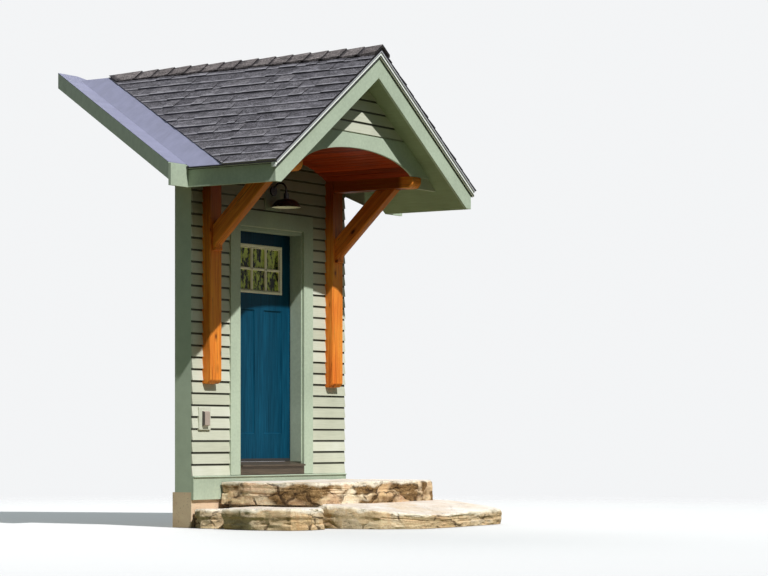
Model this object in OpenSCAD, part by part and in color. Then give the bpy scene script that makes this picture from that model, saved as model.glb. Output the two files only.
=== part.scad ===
// Entrance porch: a gabled, barrel-vaulted hood carried on two timber
// brackets, with the wall bay, panelled door, lamp and stone landing under it.
// Millimetres. X = 0 is the centre of the doorway, Y = 0 the outer face of the
// wall with the street side at -Y, and Z = 0 the ground.

/* [Wall bay] */
// Width of the wall that is built with the porch
bay_w = 2280; // [2200:10:2320]
// Thickness of the framed wall
wall_t = 175; // [150:5:200]
// Thickness of the concrete foundation
foundation_t = 200; // [200:10:260]
// Height of the concrete above the ground
foundation_h = 300; // [260:10:340]
// Underside of the skirt board above the ground
skirt_bottom = 235; // [180:5:250]
// Top of the skirt board above the ground
skirt_top = 440; // [400:5:470]
// Thickness of the skirt board
skirt_t = 25; // [20:1:32]

/* [Doorway] */
// Clear width between the jambs
opening_w = 940; // [860:10:980]
// Height from the rough sill to the head jamb
opening_h = 2080; // [2000:10:2160]
// Height of the rough sill above the ground
sill_z = 513; // [490:1:540]
// Thickness of the jambs
jamb_t = 20; // [18:1:30]
// How far the door stops stand into the opening
stop_w = 8; // [6:1:16]
// Width of the flat casing boards
casing_w = 140; // [110:5:160]
// Thickness of the casing boards
casing_t = 25; // [19:1:30]
// Width of the casing inside the house
inside_casing_w = 70; // [57:1:90]
// Part of the jamb edge that the casing leaves bare
casing_reveal = 5; // [4:1:20]
// Part of the head jamb that the casing leaves bare
head_reveal = 27; // [15:1:30]
// Height of the threshold
threshold_h = 38; // [30:1:45]
// Reach of the threshold nosing from the wall
nosing_reach = 45; // [35:5:60]
// Height of the front edge of the nosing
nosing_h = 14; // [8:1:20]

/* [Door] */
// Thickness of the door leaf
leaf_t = 44; // [40:1:50]
// Gap all round the leaf
leaf_gap = 7; // [7:0.5:9]
// Inner face of the leaf in front of the inner face of the wall
leaf_set_in = 4; // [3:1:12]
// Height of the glazed opening
lite_h = 375; // [320:1:390]
// Width of the leaf beside the glazed opening
lite_side = 151; // [140:1:190]
// Depth of the rail over the glazed opening
top_rail = 136; // [120:2:160]
// Width of the flat frame round the glass
lite_frame_w = 28; // [20:1:40]
// How far the glass frame stands off the leaf
lite_frame_t = 5; // [4:1:12]
// Thickness of the insulating glass
glass_t = 12; // [6:1:20]
// Width of the outer stiles of the leaf
stile_w = 124; // [110:2:140]
// Half width of the middle stile between the panels
mid_stile_half = 70; // [50:5:80]
// Depth of the rail between the glazed opening and the panels
lock_rail = 175; // [120:1:230]
// Depth of the rail under the two tall panels
bottom_rail = 242; // [200:2:280]
// Depth of the panels below the face of the leaf
panel_depth = 10; // [6:1:14]
// Height of the knob above the foot of the leaf
knob_rise = 912; // [850:1:1000]
// Knob to leaf edge
knob_backset = 70; // [60:1:75]
// Height of the bolt lock over the knob
bolt_rise = 140; // [120:5:180]
// Middle of the lowest hinge above the foot of the leaf
hinge_low = 280; // [200:10:300]
// Middle of the highest hinge below the top of the leaf
hinge_high = 180; // [150:5:220]
// Radius of a hinge barrel
barrel_r = 7; // [6:0.5:8]
// Length of a hinge barrel
barrel_h = 100; // [90:5:115]

/* [Timber brackets] */
// Distance between the centres of the two brackets
bracket_spacing = 1824; // [1780:4:1860]
// Width of the wall posts
post_w = 165; // [150:5:175]
// Depth of the wall posts
post_d = 90; // [70:5:100]
// Length of the posts below the beams
post_drop = 1775; // [1500:25:1900]
// Bevel on the front of the post foot
post_bevel = 30; // [10:5:40]
// Width of the beams
beam_w = 140; // [120:5:150]
// Underside of the beams above the door casing
beam_rise = 240; // [238:2:270]
// Reach of the beams from the wall
beam_reach = 955; // [940:5:1000]
// Radius on the underside of the beam nose
nose_r = 62; // [30:2:70]
// Width of the braces
brace_w = 100; // [80:5:120]
// Depth of the braces square to their length
brace_d = 140; // [110:5:150]
// Slope of the braces in degrees
brace_angle = 43.2; // [40:0.2:50]
// Where the lower edge of a brace meets the beam, from the wall
brace_reach = 745; // [700:5:800]
// Plumb nose at the foot of a brace, out from the post
brace_nose = 35; // [20:5:50]

/* [Vault] */
// Reach of the vault's ellipse behind the inner faces of the beams
vault_over = 88; // [60:2:110]
// Rise of the vault above its springing
vault_b = 300; // [260:5:320]
// Springing of the ellipse below the underside of the beams
spring_drop = 29; // [15:1:50]
// Thickness of the vault boards
vault_t = 18; // [12:1:22]
// Number of flat strips in the vault
vault_strips = 24; // [12:2:40]
// Front face of the gable wall from the wall
gable_reach = 930; // [910:5:932]
// Thickness of the gable wall
gable_t = 40; // [30:5:60]
// Thickness of the arched trim board
arch_trim_t = 20; // [18:1:24]
// Depth of the arched trim board over the crown of the vault
crown_h = 119; // [100:1:180]

/* [Porch roof] */
// Rise of the porch roof per unit of run
roof_slope = 0.71; // [0.65:0.01:0.75]
// Height of the deck's ridge above the arched trim board
gable_h = 710; // [690:5:770]
// Vertical thickness of rafters and deck
frame_t = 185; // [160:5:200]
// Vertical thickness of the soffit boards
soffit_t = 15; // [10:1:20]
// Vertical thickness of the shingle field
shingle_t = 30; // [20:1:35]
// Overhang of the roof frame outside the beams
side_overhang = 498; // [460:2:540]
// Thickness of fascia and rake boards
trim_board_t = 25; // [20:1:30]
// Front face of the rake boards from the wall
rake_reach = 1155; // [1100:5:1200]
// Depth of the rake boards square to the slope
rake_board_w = 145; // [120:5:160]
// Top of the rake boards below the deck, vertically
rake_drop = 63; // [58:1:75]
// Height of the flat fascia board under the eave trim
fascia_h = 150; // [145:1:170]
// Height of the eave trim, down from the deck
eave_trim_h = 22.25; // [18:0.25:26]
// How far eave and rake trims stand proud
trim_proud = 20; // [12:1:25]
// Overhang of the shingles past the trims
shingle_lap = 15; // [8:1:25]
// Half width of the ridge cap, measured level
ridge_cap_w = 110; // [90:5:150]
// Thickness of the ridge cap
ridge_cap_t = 16; // [6:1:20]

/* [Main roof and valleys] */
// Rise of the main roof per unit of run
main_slope = 0.4375; // [0.42:0.0025:0.46]
// Overhang of the main eave from the wall
main_eave = 230; // [200:10:260]
// Distance of the valley outside the roof frame at the main eave
valley_out = 20; // [20:5:35]
// Vertical thickness of the main deck under the porch roof
main_deck_t = 140; // [100:10:150]
// Bare width of the valley metal on the porch side, in plan
valley_porch_w = 180; // [120:10:220]
// Width of the valley metal on the main side, in plan
valley_main_w = 200; // [140:10:240]
// Vertical thickness of the valley metal
valley_t = 4; // [3:0.5:6]
// Length of main deck kept behind the end of the porch ridge
deck_tail = 156; // [100:2:200]

/* [Lamp and outlet] */
// Side of the square block behind the lamp
lamp_block_w = 220; // [180:10:230]
// Underside of the lamp block above the door casing
lamp_gap = 15; // [10:1:25]
// Thickness of the lamp and outlet blocks
block_t = 25; // [20:1:30]
// Radius of the shade rim
shade_r = 135; // [110:5:140]
// Height of the shade rim above the underside of the block
shade_rise = 20; // [10:1:30]
// Depth of the shade
shade_h = 78; // [60:2:90]
// Thickness of the shade metal
shade_t = 3; // [2:0.5:4]
// Distance of the shade's centre from the wall
shade_reach = 170; // [165:5:180]
// Radius of the gooseneck tube
neck_r = 9; // [7:0.5:11]
// Radius of the wall plate of the lamp
plate_r = 45; // [40:1:50]
// Centre of the outlet block, left of the doorway centre
outlet_x = 980; // [960:5:1020]
// Middle of the outlet block above the skirt board
outlet_rise = 488; // [360:4:560]
// Width of the outlet block
outlet_w = 160; // [140:5:180]
// Height of the outlet block
outlet_h = 195; // [180:5:220]
// Width of the outlet cover
cover_w = 84; // [75:1:100]
// Height of the outlet cover
cover_h = 128; // [118:2:150]
// Depth of the outlet cover
cover_t = 28; // [20:2:40]

/* [Stone landing] */
// Top of the landing stone above the ground
landing_z = 385; // [360:5:400]
// Top of the step stone that carries the landing
step_z = 205; // [170:5:240]
// Fall of the step stone in front of the landing
step_fall = 95; // [40:5:110]
// Where the fall starts, out from the wall
fall_start = 1060; // [1055:5:1200]
// Level length of the fall
fall_run = 840; // [740:10:900]
// Weathered slope on the edges of the stones
stone_bevel = 22; // [10:2:30]

/* [Hidden] */
$fn = 48;
eps = 0.01;
// joint left under pieces that lie on a sloping face
seat = 0.3;

// doorway
bay_half = bay_w / 2;
opening_half = opening_w / 2;
rough_half = opening_half + jamb_t;
head_z = sill_z + opening_h;
threshold_top = sill_z + threshold_h;
casing_in = opening_half + casing_reveal;
casing_out = casing_in + casing_w;
casing_head_z = head_z + head_reveal;
casing_top = casing_head_z + casing_w;

// door leaf, hinged on the inner edge of the right jamb
leaf_half = opening_half - leaf_gap;
leaf_y1 = wall_t - leaf_set_in;
leaf_y0 = leaf_y1 - leaf_t;
leaf_z0 = threshold_top + leaf_gap;
leaf_z1 = head_z - leaf_gap;
stop_y1 = leaf_y0 - leaf_gap;
pin_x = opening_half - leaf_gap / 2;
pin_y = wall_t + barrel_r + 1;
hinge_zs = [leaf_z0 + hinge_low, (leaf_z0 + leaf_z1) / 2, leaf_z1 - hinge_high];
knob_x = -leaf_half + knob_backset;
knob_z = leaf_z0 + knob_rise;
lite_half_w = leaf_half - lite_side;
lite_z1 = leaf_z1 - top_rail;
lite_z0 = lite_z1 - lite_h;
panel_z1 = lite_z0 - lock_rail;
panel_z0 = leaf_z0 + bottom_rail;

// brackets
bracket_x = bracket_spacing / 2;
beam_in = bracket_x - beam_w / 2;
beam_out = bracket_x + beam_w / 2;
beam_z0 = casing_top + beam_rise;
post_z0 = beam_z0 - post_drop;

// vault
vault_a = beam_in + vault_over;
vault_z = beam_z0 - spring_drop;
arch_trim_top = vault_z + vault_b + crown_h;

// roof planes: z at distance x from the middle
deck_ridge_z = arch_trim_top + gable_h;
frame_half_w = beam_out + side_overhang;
soffit_ridge_z = deck_ridge_z - frame_t - soffit_t;
function soffit_z(x) = soffit_ridge_z - roof_slope * abs(x);
function frame_z(x) = deck_ridge_z - frame_t - roof_slope * abs(x);
function deck_z(x) = deck_ridge_z - roof_slope * abs(x);
beam_z1 = soffit_z(beam_out);
fascia_out = frame_half_w + trim_board_t;
trim_out = fascia_out + trim_proud;
shingle_half = trim_out + shingle_lap;
fascia_z1 = deck_z(trim_out) - eave_trim_h;
fascia_z0 = fascia_z1 - fascia_h;
rake_back = rake_reach - trim_board_t;
rake_plumb_w = rake_board_w * sqrt(1 + roof_slope * roof_slope);
rake_top_z = deck_ridge_z - rake_drop;
trim_front = rake_reach + trim_proud;
shingle_front = trim_front + shingle_lap;

// main roof plane, and the valley line where the two decks meet, in plan
valley_x = frame_half_w + valley_out;
main_eave_z = deck_z(valley_x);
function main_z(y) = main_eave_z + main_slope * (y + main_eave);
ridge_end = (deck_ridge_z - main_eave_z) / main_slope - main_eave;
function valley_y(x) = ridge_end - (ridge_end + main_eave) * abs(x) / valley_x;
valley_run = (ridge_end + main_eave) / valley_x;
valley_len = sqrt(1 + valley_run * valley_run);
porch_shift = valley_porch_w * valley_len;
main_shift = valley_main_w * valley_len;
deck_y1 = ridge_end + deck_tail;
deck_out = valley_x + main_shift / valley_run;
panel_t = 20;
function wall_z(y) = main_z(y) - main_deck_t - seat;
wall_top = wall_z(0);

// lamp and outlet
lamp_block_z = casing_top + lamp_gap;
shade_z = lamp_block_z + shade_rise;
outlet_z = skirt_top + outlet_rise;

// Shapes that several pieces share

// A box given by its lowest and highest corners.
module slab(low, high) {
    translate(low) cube(high - low);
}

// An outline drawn in X and Z, carried from y0 to y1.
module along_y(y0, y1) {
    translate([0, y1, 0]) rotate([90, 0, 0]) linear_extrude(y1 - y0) children();
}

// An outline drawn in Y and Z, carried from x0 to x1.
module along_x(x0, x1) {
    translate([x0, 0, 0]) rotate([90, 0, 90]) linear_extrude(x1 - x0) children();
}

// The piece on the right, as drawn, or its mirror image on the left.
module side(left) {
    if (left) mirror([1, 0, 0]) children(); else children();
}

// A piece that stands on both sides, clear of the middle.
module both_sides() {
    for (left = [true, false]) side(left) children();
}

// The layer of one roof slope between two heights at the ridge.
module slope_layer(z0, z1, half_w) {
    polygon([[0, z0], [0, z1], [half_w, z1 - roof_slope * half_w], [half_w, z0 - roof_slope * half_w]]);
}

// Points of the vault's elliptical arc, grown outwards by g.
function arc_points(g) = [for (i = [0 : vault_strips])
    let (t = 180 * i / vault_strips) [(vault_a + g) * cos(t), vault_z + (vault_b + g) * sin(t)]];

// Everything under the vault's arc grown by g, down to a given height.
module arch_fill(g, z0) {
    polygon(concat(arc_points(g), [[-vault_a - g, z0], [vault_a + g, z0]]));
}

// Everything under the top plane of the main roof, from y0 inwards.
module main_roof_space(y0, x0, x1) {
    y1 = deck_y1 + 100;
    along_x(x0, x1) polygon([[y0, 0], [y1, 0], [y1, main_z(y1)], [y0, main_z(y0)]]);
}

// A stone with a plain outline and weathered edges.
module stone(outline, z0, z1) {
    hull() {
        translate([0, 0, z0]) linear_extrude(z1 - z0 - stone_bevel) polygon(outline);
        translate([0, 0, z1 - 1]) linear_extrude(1) offset(delta = -stone_bevel) polygon(outline);
    }
}

// Foundation, wall and doorway

module foundation_wall() {
    color("rosybrown") slab([-bay_half, 0, 0], [bay_half, foundation_t, foundation_h]);
}

// Framing under the doorway, between the foundation and the threshold.
module sill_beam() {
    color("burlywood") slab([-rough_half, 0, foundation_h], [rough_half, wall_t, sill_z]);
}

// Skirt board with a sloped drip cap along its top.
module skirt_board() {
    cap_t = 14;
    cap_proud = 12;
    color("darkseagreen") along_x(-bay_half, bay_half)
        polygon([[0, skirt_bottom], [-skirt_t, skirt_bottom], [-skirt_t, skirt_top - cap_t],
                 [-skirt_t - cap_proud, skirt_top - cap_t], [-skirt_t - cap_proud, skirt_top - cap_t / 2],
                 [0, skirt_top]]);
}

// The wall beside the doorway; its top is bevelled to carry the main roof.
module wall_beside(x0, x1) {
    color("darkseagreen") along_x(x0, x1)
        polygon([[0, foundation_h], [wall_t, foundation_h], [wall_t, wall_z(wall_t)],
                 [panel_t, wall_z(panel_t)], [panel_t, wall_top], [0, wall_top]]);
}

module wall_left() { wall_beside(-bay_half, -rough_half); }
module wall_right() { wall_beside(rough_half, bay_half); }

module wall_over_door() {
    color("darkseagreen") along_x(-rough_half, rough_half)
        polygon([[0, head_z + jamb_t], [wall_t, head_z + jamb_t], [wall_t, wall_z(wall_t)],
                 [panel_t, wall_z(panel_t)], [panel_t, wall_top], [0, wall_top]]);
}

// Boarding that carries the wall face up behind the vault to the rafters.
module wall_upper_panel() {
    color("darkseagreen") along_y(0, panel_t)
        polygon([[-bay_half, wall_top], [bay_half, wall_top], [bay_half, frame_z(bay_half) - seat],
                 [0, frame_z(0) - seat], [-bay_half, frame_z(bay_half) - seat]]);
}

// A side jamb with its stop, for the right; the left is mirrored.
module jamb_side() {
    color("darkseagreen") union() {
        slab([opening_half, 0, sill_z], [rough_half, wall_t, head_z]);
        slab([opening_half - stop_w, 0, threshold_top], [opening_half + eps, stop_y1, head_z]);
    }
}

module jamb_left() { side(true) jamb_side(); }
module jamb_right() { side(false) jamb_side(); }

module jamb_head() {
    color("darkseagreen") union() {
        slab([-rough_half, 0, head_z], [rough_half, wall_t, head_z + jamb_t]);
        slab([-opening_half + stop_w, 0, head_z - stop_w],
             [opening_half - stop_w, stop_y1, head_z + eps]);
    }
}

// Threshold with a sloped nosing, and the riser board that closes the sill under it.
module threshold() {
    color("dimgray") union() {
        along_x(-opening_half, opening_half)
            polygon([[-nosing_reach, sill_z], [wall_t, sill_z], [wall_t, threshold_top],
                     [stop_y1, threshold_top], [-nosing_reach, sill_z + nosing_h]]);
        slab([-casing_in, -casing_t, skirt_top], [casing_in, 0, sill_z]);
    }
}

// Two side casings and a head casing, all flat boards.
module door_casing() {
    color("darkseagreen") along_y(-casing_t, 0)
        difference() {
            translate([-casing_out, skirt_top])
                square([2 * casing_out, casing_top - skirt_top]);
            translate([-casing_in, skirt_top - 1]) square([2 * casing_in, casing_head_z - skirt_top + 1]);
        }
}

// Flat casing round the doorway on the inner face of the wall.
module inside_casing() {
    board_t = 16;
    color("white") along_y(wall_t, wall_t + board_t)
        difference() {
            translate([-casing_in - inside_casing_w, sill_z])
                square([2 * (casing_in + inside_casing_w), casing_head_z + inside_casing_w - sill_z]);
            translate([-casing_in, sill_z - 1]) square([2 * casing_in, casing_head_z - sill_z + 1]);
        }
}

// Timber brackets

// Wall post, bevelled at its front foot.
module post() {
    top = soffit_z(bracket_x + post_w / 2) - seat;
    color("peru") along_x(bracket_x - post_w / 2, bracket_x + post_w / 2)
        polygon([[0, post_z0], [-post_d + post_bevel, post_z0], [-post_d, post_z0 + post_bevel],
                 [-post_d, top], [0, top]]);
}

// Beam with a rounded nose, rebated behind the arched trim board.
module beam() {
    rebate_z = arch_spring_z() - 1;
    color("peru") along_x(beam_in, beam_out)
        difference() {
            union() {
                translate([-beam_reach + nose_r, beam_z0])
                    square([beam_reach - nose_r - post_d, beam_z1 - beam_z0]);
                translate([-beam_reach, beam_z0 + nose_r])
                    square([nose_r + 1, beam_z1 - beam_z0 - nose_r]);
                translate([-beam_reach + nose_r, beam_z0 + nose_r]) circle(nose_r);
            }
            translate([-beam_reach - 1, rebate_z]) square([beam_reach + 1 - gable_reach, beam_z1]);
        }
}

// Height at which the underside of the vault meets the beams.
function arch_spring_z() = vault_z + vault_b * sqrt(1 - pow(beam_in / vault_a, 2));

// Brace from the post to the beam, with a plumb nose and a level seat at its foot.
module brace() {
    rise = tan(brace_angle);
    plumb_d = brace_d / cos(brace_angle);
    seat_z = beam_z0 - rise * (brace_reach - post_d) - 22;
    nose_y = -post_d - brace_nose;
    color("peru") along_x(bracket_x - brace_w / 2, bracket_x + brace_w / 2)
        polygon([[-post_d, seat_z], [nose_y, seat_z], [nose_y, beam_z0 - rise * (brace_reach + nose_y)],
                 [-brace_reach, beam_z0], [-brace_reach + plumb_d / rise, beam_z0],
                 [-post_d, beam_z0 + plumb_d - rise * (brace_reach - post_d)]]);
}

module wall_posts() { both_sides() post(); }
module beams() { both_sides() beam(); }
module braces() { both_sides() brace(); }

// Vault and gable

// The barrel vault of flat boards, between the two beams.
module vault_ceiling() {
    color("saddlebrown") difference() {
        along_y(-gable_reach, 0)
            intersection() {
                difference() {
                    arch_fill(vault_t, beam_z0);
                    arch_fill(0, beam_z0 - 1);
                }
                translate([-beam_in, beam_z0]) square([2 * beam_in, vault_b + 100]);
            }
        both_sides() slab([bracket_x - post_w / 2, -post_d, beam_z0], [bracket_x, eps, beam_z1]);
    }
}

// Outline of the gable between the soffits, down to the underside of the beams.
module gable_outline(z0) {
    x0 = (soffit_ridge_z - seat - z0) / roof_slope;
    polygon([[-x0, z0], [x0, z0], [0, soffit_ridge_z - seat]]);
}

// The recessed gable wall over the vault, cut round the beams.
module gable_wall() {
    color("darkseagreen") along_y(-gable_reach, -gable_reach + gable_t)
        difference() {
            gable_outline(beam_z0);
            arch_fill(vault_t, beam_z0 - 1);
            for (s = [-1, 1]) translate([s * bracket_x - beam_w / 2, beam_z0 - 1])
                square([beam_w, beam_z1 - beam_z0 + 1]);
        }
}

// The trim board over the mouth of the vault: level top, arched underside.
module arch_trim() {
    color("darkseagreen") along_y(-gable_reach - arch_trim_t, -gable_reach)
        difference() {
            intersection() {
                gable_outline(arch_spring_z());
                translate([-vault_a - 400, vault_z]) square([2 * vault_a + 800, arch_trim_top - vault_z]);
            }
            arch_fill(-4, vault_z - 1);
        }
}

// Porch roof

// Rafters and deck of one slope, cut where they land on the main roof.
module roof_frame() {
    color("tan") difference() {
        along_y(-rake_back, ridge_end)
            slope_layer(deck_ridge_z - frame_t, deck_ridge_z, frame_half_w);
        main_roof_space(panel_t, -1, frame_half_w + 1);
        main_roof_space(-main_eave, bay_half, frame_half_w + 1);
    }
}

// The shingle field of one slope, trimmed back along the valley metal.
module shingles() {
    color("dimgray") intersection() {
        along_y(-shingle_front, ridge_end)
            slope_layer(deck_ridge_z, deck_ridge_z + shingle_t, shingle_half);
        translate([0, 0, fascia_z0]) linear_extrude(deck_ridge_z)
            polygon([[0, -shingle_front], [shingle_half, -shingle_front],
                     [shingle_half, valley_y(shingle_half) - porch_shift], [0, ridge_end - porch_shift]]);
    }
}

// A folded cap over both shingle fields at the ridge.
module ridge_cap() {
    z = deck_ridge_z + shingle_t;
    drop = roof_slope * ridge_cap_w;
    color("dimgray") intersection() {
        along_y(-shingle_front - 6, ridge_end - porch_shift + ridge_cap_w)
            polygon([[0, z], [ridge_cap_w, z - drop], [ridge_cap_w, z - drop + ridge_cap_t],
                     [0, z + ridge_cap_t], [-ridge_cap_w, z - drop + ridge_cap_t],
                     [-ridge_cap_w, z - drop]]);
        translate([0, 0, fascia_z0]) linear_extrude(deck_ridge_z)
            polygon([[-ridge_cap_w, -shingle_front - 6], [ridge_cap_w, -shingle_front - 6],
                     [ridge_cap_w, valley_y(ridge_cap_w) - porch_shift], [0, ridge_end - porch_shift],
                     [-ridge_cap_w, valley_y(ridge_cap_w) - porch_shift]]);
    }
}

// Rake board with a plumb end, cut level with the underside of the fascia.
module rake_board() {
    color("darkseagreen") along_y(-rake_reach, -rake_back)
        intersection() {
            slope_layer(rake_top_z - rake_plumb_w, rake_top_z, fascia_out);
            translate([0, fascia_z0]) square([fascia_out, deck_ridge_z - fascia_z0]);
        }
}

// Trim above both rake boards, under the edge of the shingles.
module rake_trim() {
    gap = 8;
    half_w = trim_out + 5;
    color("honeydew") along_y(-trim_front, -rake_back)
        for (s = [0, 1]) mirror([s, 0])
            slope_layer(rake_top_z + gap, deck_ridge_z, half_w);
}

// Fascia board with the eave trim along its top.
module fascia() {
    color("darkseagreen") along_y(-rake_back, -main_eave)
        polygon([[frame_half_w, fascia_z0], [fascia_out, fascia_z0], [fascia_out, fascia_z1],
                 [trim_out, fascia_z1], [trim_out, deck_z(trim_out)], [frame_half_w, deck_z(frame_half_w)]]);
}

// Sloped soffit outside the beam and in front of the gable wall.
module soffit() {
    color("olivedrab") intersection() {
        along_y(-rake_back, 0)
            slope_layer(soffit_ridge_z, soffit_ridge_z + soffit_t, frame_half_w);
        translate([0, 0, fascia_z0 - 100]) linear_extrude(deck_ridge_z)
            polygon([[0, -rake_back], [frame_half_w, -rake_back], [frame_half_w, -main_eave],
                     [bay_half, -main_eave], [bay_half, 0], [beam_out, 0],
                     [beam_out, -gable_reach + gable_t], [0, -gable_reach + gable_t]]);
    }
}

// Short length of the main roof's fascia beyond each porch fascia.
module main_fascia() {
    top = main_eave_z - 7;
    color("darkseagreen") both_sides() along_y(-main_eave - trim_board_t, -main_eave)
        polygon([[fascia_out, fascia_z0], [deck_out, fascia_z0], [deck_out, top], [trim_out, top],
                 [trim_out, fascia_z1], [fascia_out, fascia_z1]]);
}

module roof_frame_left() { side(true) roof_frame(); }
module roof_frame_right() { side(false) roof_frame(); }
module shingles_left() { side(true) shingles(); }
module shingles_right() { side(false) shingles(); }
module rake_board_left() { side(true) rake_board(); }
module rake_board_right() { side(false) rake_board(); }
module eave_fascias() { both_sides() fascia(); }
module soffit_left() { side(true) soffit(); }
module soffit_right() { side(false) soffit(); }

// Main roof and valleys

// The main roof's deck under the porch roof, cut just outside the valley metal.
module main_roof_deck() {
    tail_x = deck_out - (deck_y1 + main_eave) / valley_run;
    color("tan") intersection() {
        along_x(-deck_out, deck_out)
            polygon([[-main_eave, main_z(-main_eave) - main_deck_t], [-main_eave, main_z(-main_eave)],
                     [deck_y1, main_z(deck_y1)], [deck_y1, main_z(deck_y1) - main_deck_t]]);
        translate([0, 0, skirt_top]) linear_extrude(deck_ridge_z)
            polygon([[-deck_out, -main_eave], [-bay_half, -main_eave], [-bay_half, panel_t],
                     [bay_half, panel_t], [bay_half, -main_eave], [deck_out, -main_eave],
                     [tail_x, deck_y1], [-tail_x, deck_y1]]);
    }
}

// The space under both roof planes right of the middle, raised by lift.
module under_roofs(lift, x0) {
    y0 = -rake_back;
    y1 = deck_y1 + 50;
    x1 = deck_out + 50;
    union() {
        along_y(y0, y1)
            polygon([[x0, 0], [x1, 0], [x1, deck_z(x1) + lift], [x0, deck_z(x0) + lift]]);
        along_x(x0, x1)
            polygon([[y0, 0], [y1, 0], [y1, main_z(y1) + lift], [y0, main_z(y0) + lift]]);
    }
}

// Bare valley metal: a bent sheet on the porch deck and the main deck.
module valley_flashing() {
    tail_x = deck_out - (deck_y1 + main_eave) / valley_run;
    color("thistle") intersection() {
        difference() {
            under_roofs(valley_t + seat, 0);
            under_roofs(seat, 0);
        }
        translate([0, 0, fascia_z0]) linear_extrude(deck_ridge_z)
            polygon([[0, ridge_end - porch_shift], [shingle_half, valley_y(shingle_half) - porch_shift],
                     [shingle_half, valley_y(shingle_half)], [valley_x, -main_eave],
                     [deck_out, -main_eave], [tail_x, deck_y1], [0, deck_y1]]);
    }
}

module valley_flashing_left() { side(true) valley_flashing(); }
module valley_flashing_right() { side(false) valley_flashing(); }

// Lamp and outlet

module lamp_block() {
    color("darkseagreen")
        slab([-lamp_block_w / 2, -block_t, lamp_block_z],
             [lamp_block_w / 2, 0, lamp_block_z + lamp_block_w]);
}

// Wall plate, gooseneck tube and socket.
module lamp_arm() {
    stub = 12;
    bend_r = (shade_reach - block_t - stub) / 2;
    neck_z = shade_z + shade_h + 76;
    plate_z = neck_z;
    color("black") union() {
        translate([0, -block_t, plate_z]) rotate([90, 0, 0]) cylinder(h = 14, r = plate_r);
        translate([0, -shade_reach + bend_r, neck_z]) rotate([90, 0, -90])
            rotate_extrude(angle = 180) translate([bend_r, 0]) circle(neck_r);
        translate([0, -block_t - stub, neck_z]) sphere(neck_r + 3);
        translate([0, -block_t, neck_z]) rotate([90, 0, 0]) cylinder(h = stub, r = neck_r + 3);
        translate([0, -shade_reach, shade_z + shade_h - 2]) cylinder(h = 50, r = 24);
        translate([0, -shade_reach, shade_z + shade_h + 48]) cylinder(h = 28, r = neck_r + 4);
    }
}

module lamp_bulb() {
    bulb_r = 26;
    color("ivory") translate([0, -shade_reach, 0]) union() {
        translate([0, 0, shade_z + shade_h - 44]) sphere(bulb_r);
        translate([0, 0, shade_z + shade_h - 44]) cylinder(h = 42, r = 13);
    }
}

// Spun metal shade: a shallow bell with a rolled rim.
module lamp_shade() {
    neck = 25;
    color("black") translate([0, -shade_reach, 0]) rotate_extrude() difference() {
        polygon([[neck, shade_z + shade_h], [neck + 12, shade_z + shade_h],
                 [shade_r * 0.62, shade_z + shade_h * 0.62], [shade_r - 6, shade_z + 14],
                 [shade_r, shade_z], [0, shade_z], [0, shade_z + shade_h]]);
        polygon([[-1, shade_z - 1], [shade_r - shade_t, shade_z - 1], [shade_r - shade_t, shade_z],
                 [shade_r - 6 - shade_t, shade_z + 14 - shade_t],
                 [shade_r * 0.62 - shade_t, shade_z + shade_h * 0.62 - shade_t],
                 [neck + 12 - shade_t, shade_z + shade_h - shade_t], [neck, shade_z + shade_h - shade_t],
                 [neck, shade_z + shade_h + 1], [-1, shade_z + shade_h + 1]]);
    }
}

// Block on the siding with a hinged weather cover.
module outlet_block() {
    color("darkseagreen")
        slab([-outlet_x - outlet_w / 2, -block_t, outlet_z - outlet_h / 2],
             [-outlet_x + outlet_w / 2, 0, outlet_z + outlet_h / 2]);
    color("gray") hull() {
        slab([-outlet_x - cover_w / 2, -block_t - 4, outlet_z - cover_h / 2],
             [-outlet_x + cover_w / 2, -block_t, outlet_z + cover_h / 2]);
        slab([-outlet_x - cover_w / 2 + 6, -block_t - cover_t, outlet_z - cover_h / 2 + 6],
             [-outlet_x + cover_w / 2 - 6, -block_t, outlet_z + cover_h / 2 - 6]);
    }
}

// Stone landing

// Outlines are chosen by hand, as the stones were.
stone_back = -skirt_t;
landing_outline = [[-790, stone_back], [-805, -300], [-770, -700], [-710, -940], [-640, -1015], [160, -1050],
                   [860, -1030], [1120, -1010], [1180, -900], [1165, -380], [1130, stone_back]];
step_outline = [[-660, 0], [-690, -600], [-640, -1180], [-520, -1520], [-240, -1785],
                [160, -1800], [800, -1740], [1180, -1700], [1300, -1500], [1290, -900],
                [1210, -400], [1120, 0]];
edging_outline = [[-1290, -420], [-1330, -760], [-1230, -1110], [-1040, -1200], [-800, -1170],
                  [-652.5, -1035], [-690, -600], [-760, -440], [-1000, -360]];
corner_outline = [[-1130, 0], [-1230, -150], [-1200, -270], [-1090, -330], [-840, -345], [-750, -250],
                  [-740, 0]];

module stone_landing() {
    color("wheat") stone(landing_outline, step_z, landing_z);
}

module stone_step() {
    color("tan") difference() {
        stone(step_outline, 0, step_z);
        along_x(-trim_out, trim_out)
            polygon([[-fall_start, step_z], [-fall_start - fall_run, step_z - step_fall],
                     [-fall_start - fall_run, step_z + 1], [-fall_start, step_z + 1]]);
    }
}

// Low flat stones laid at the left end of the landing.
module stone_edging() {
    color("tan") {
        stone(edging_outline, 0, step_z - 25);
        stone(corner_outline, 0, step_z - 40);
    }
}

// Door

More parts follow.
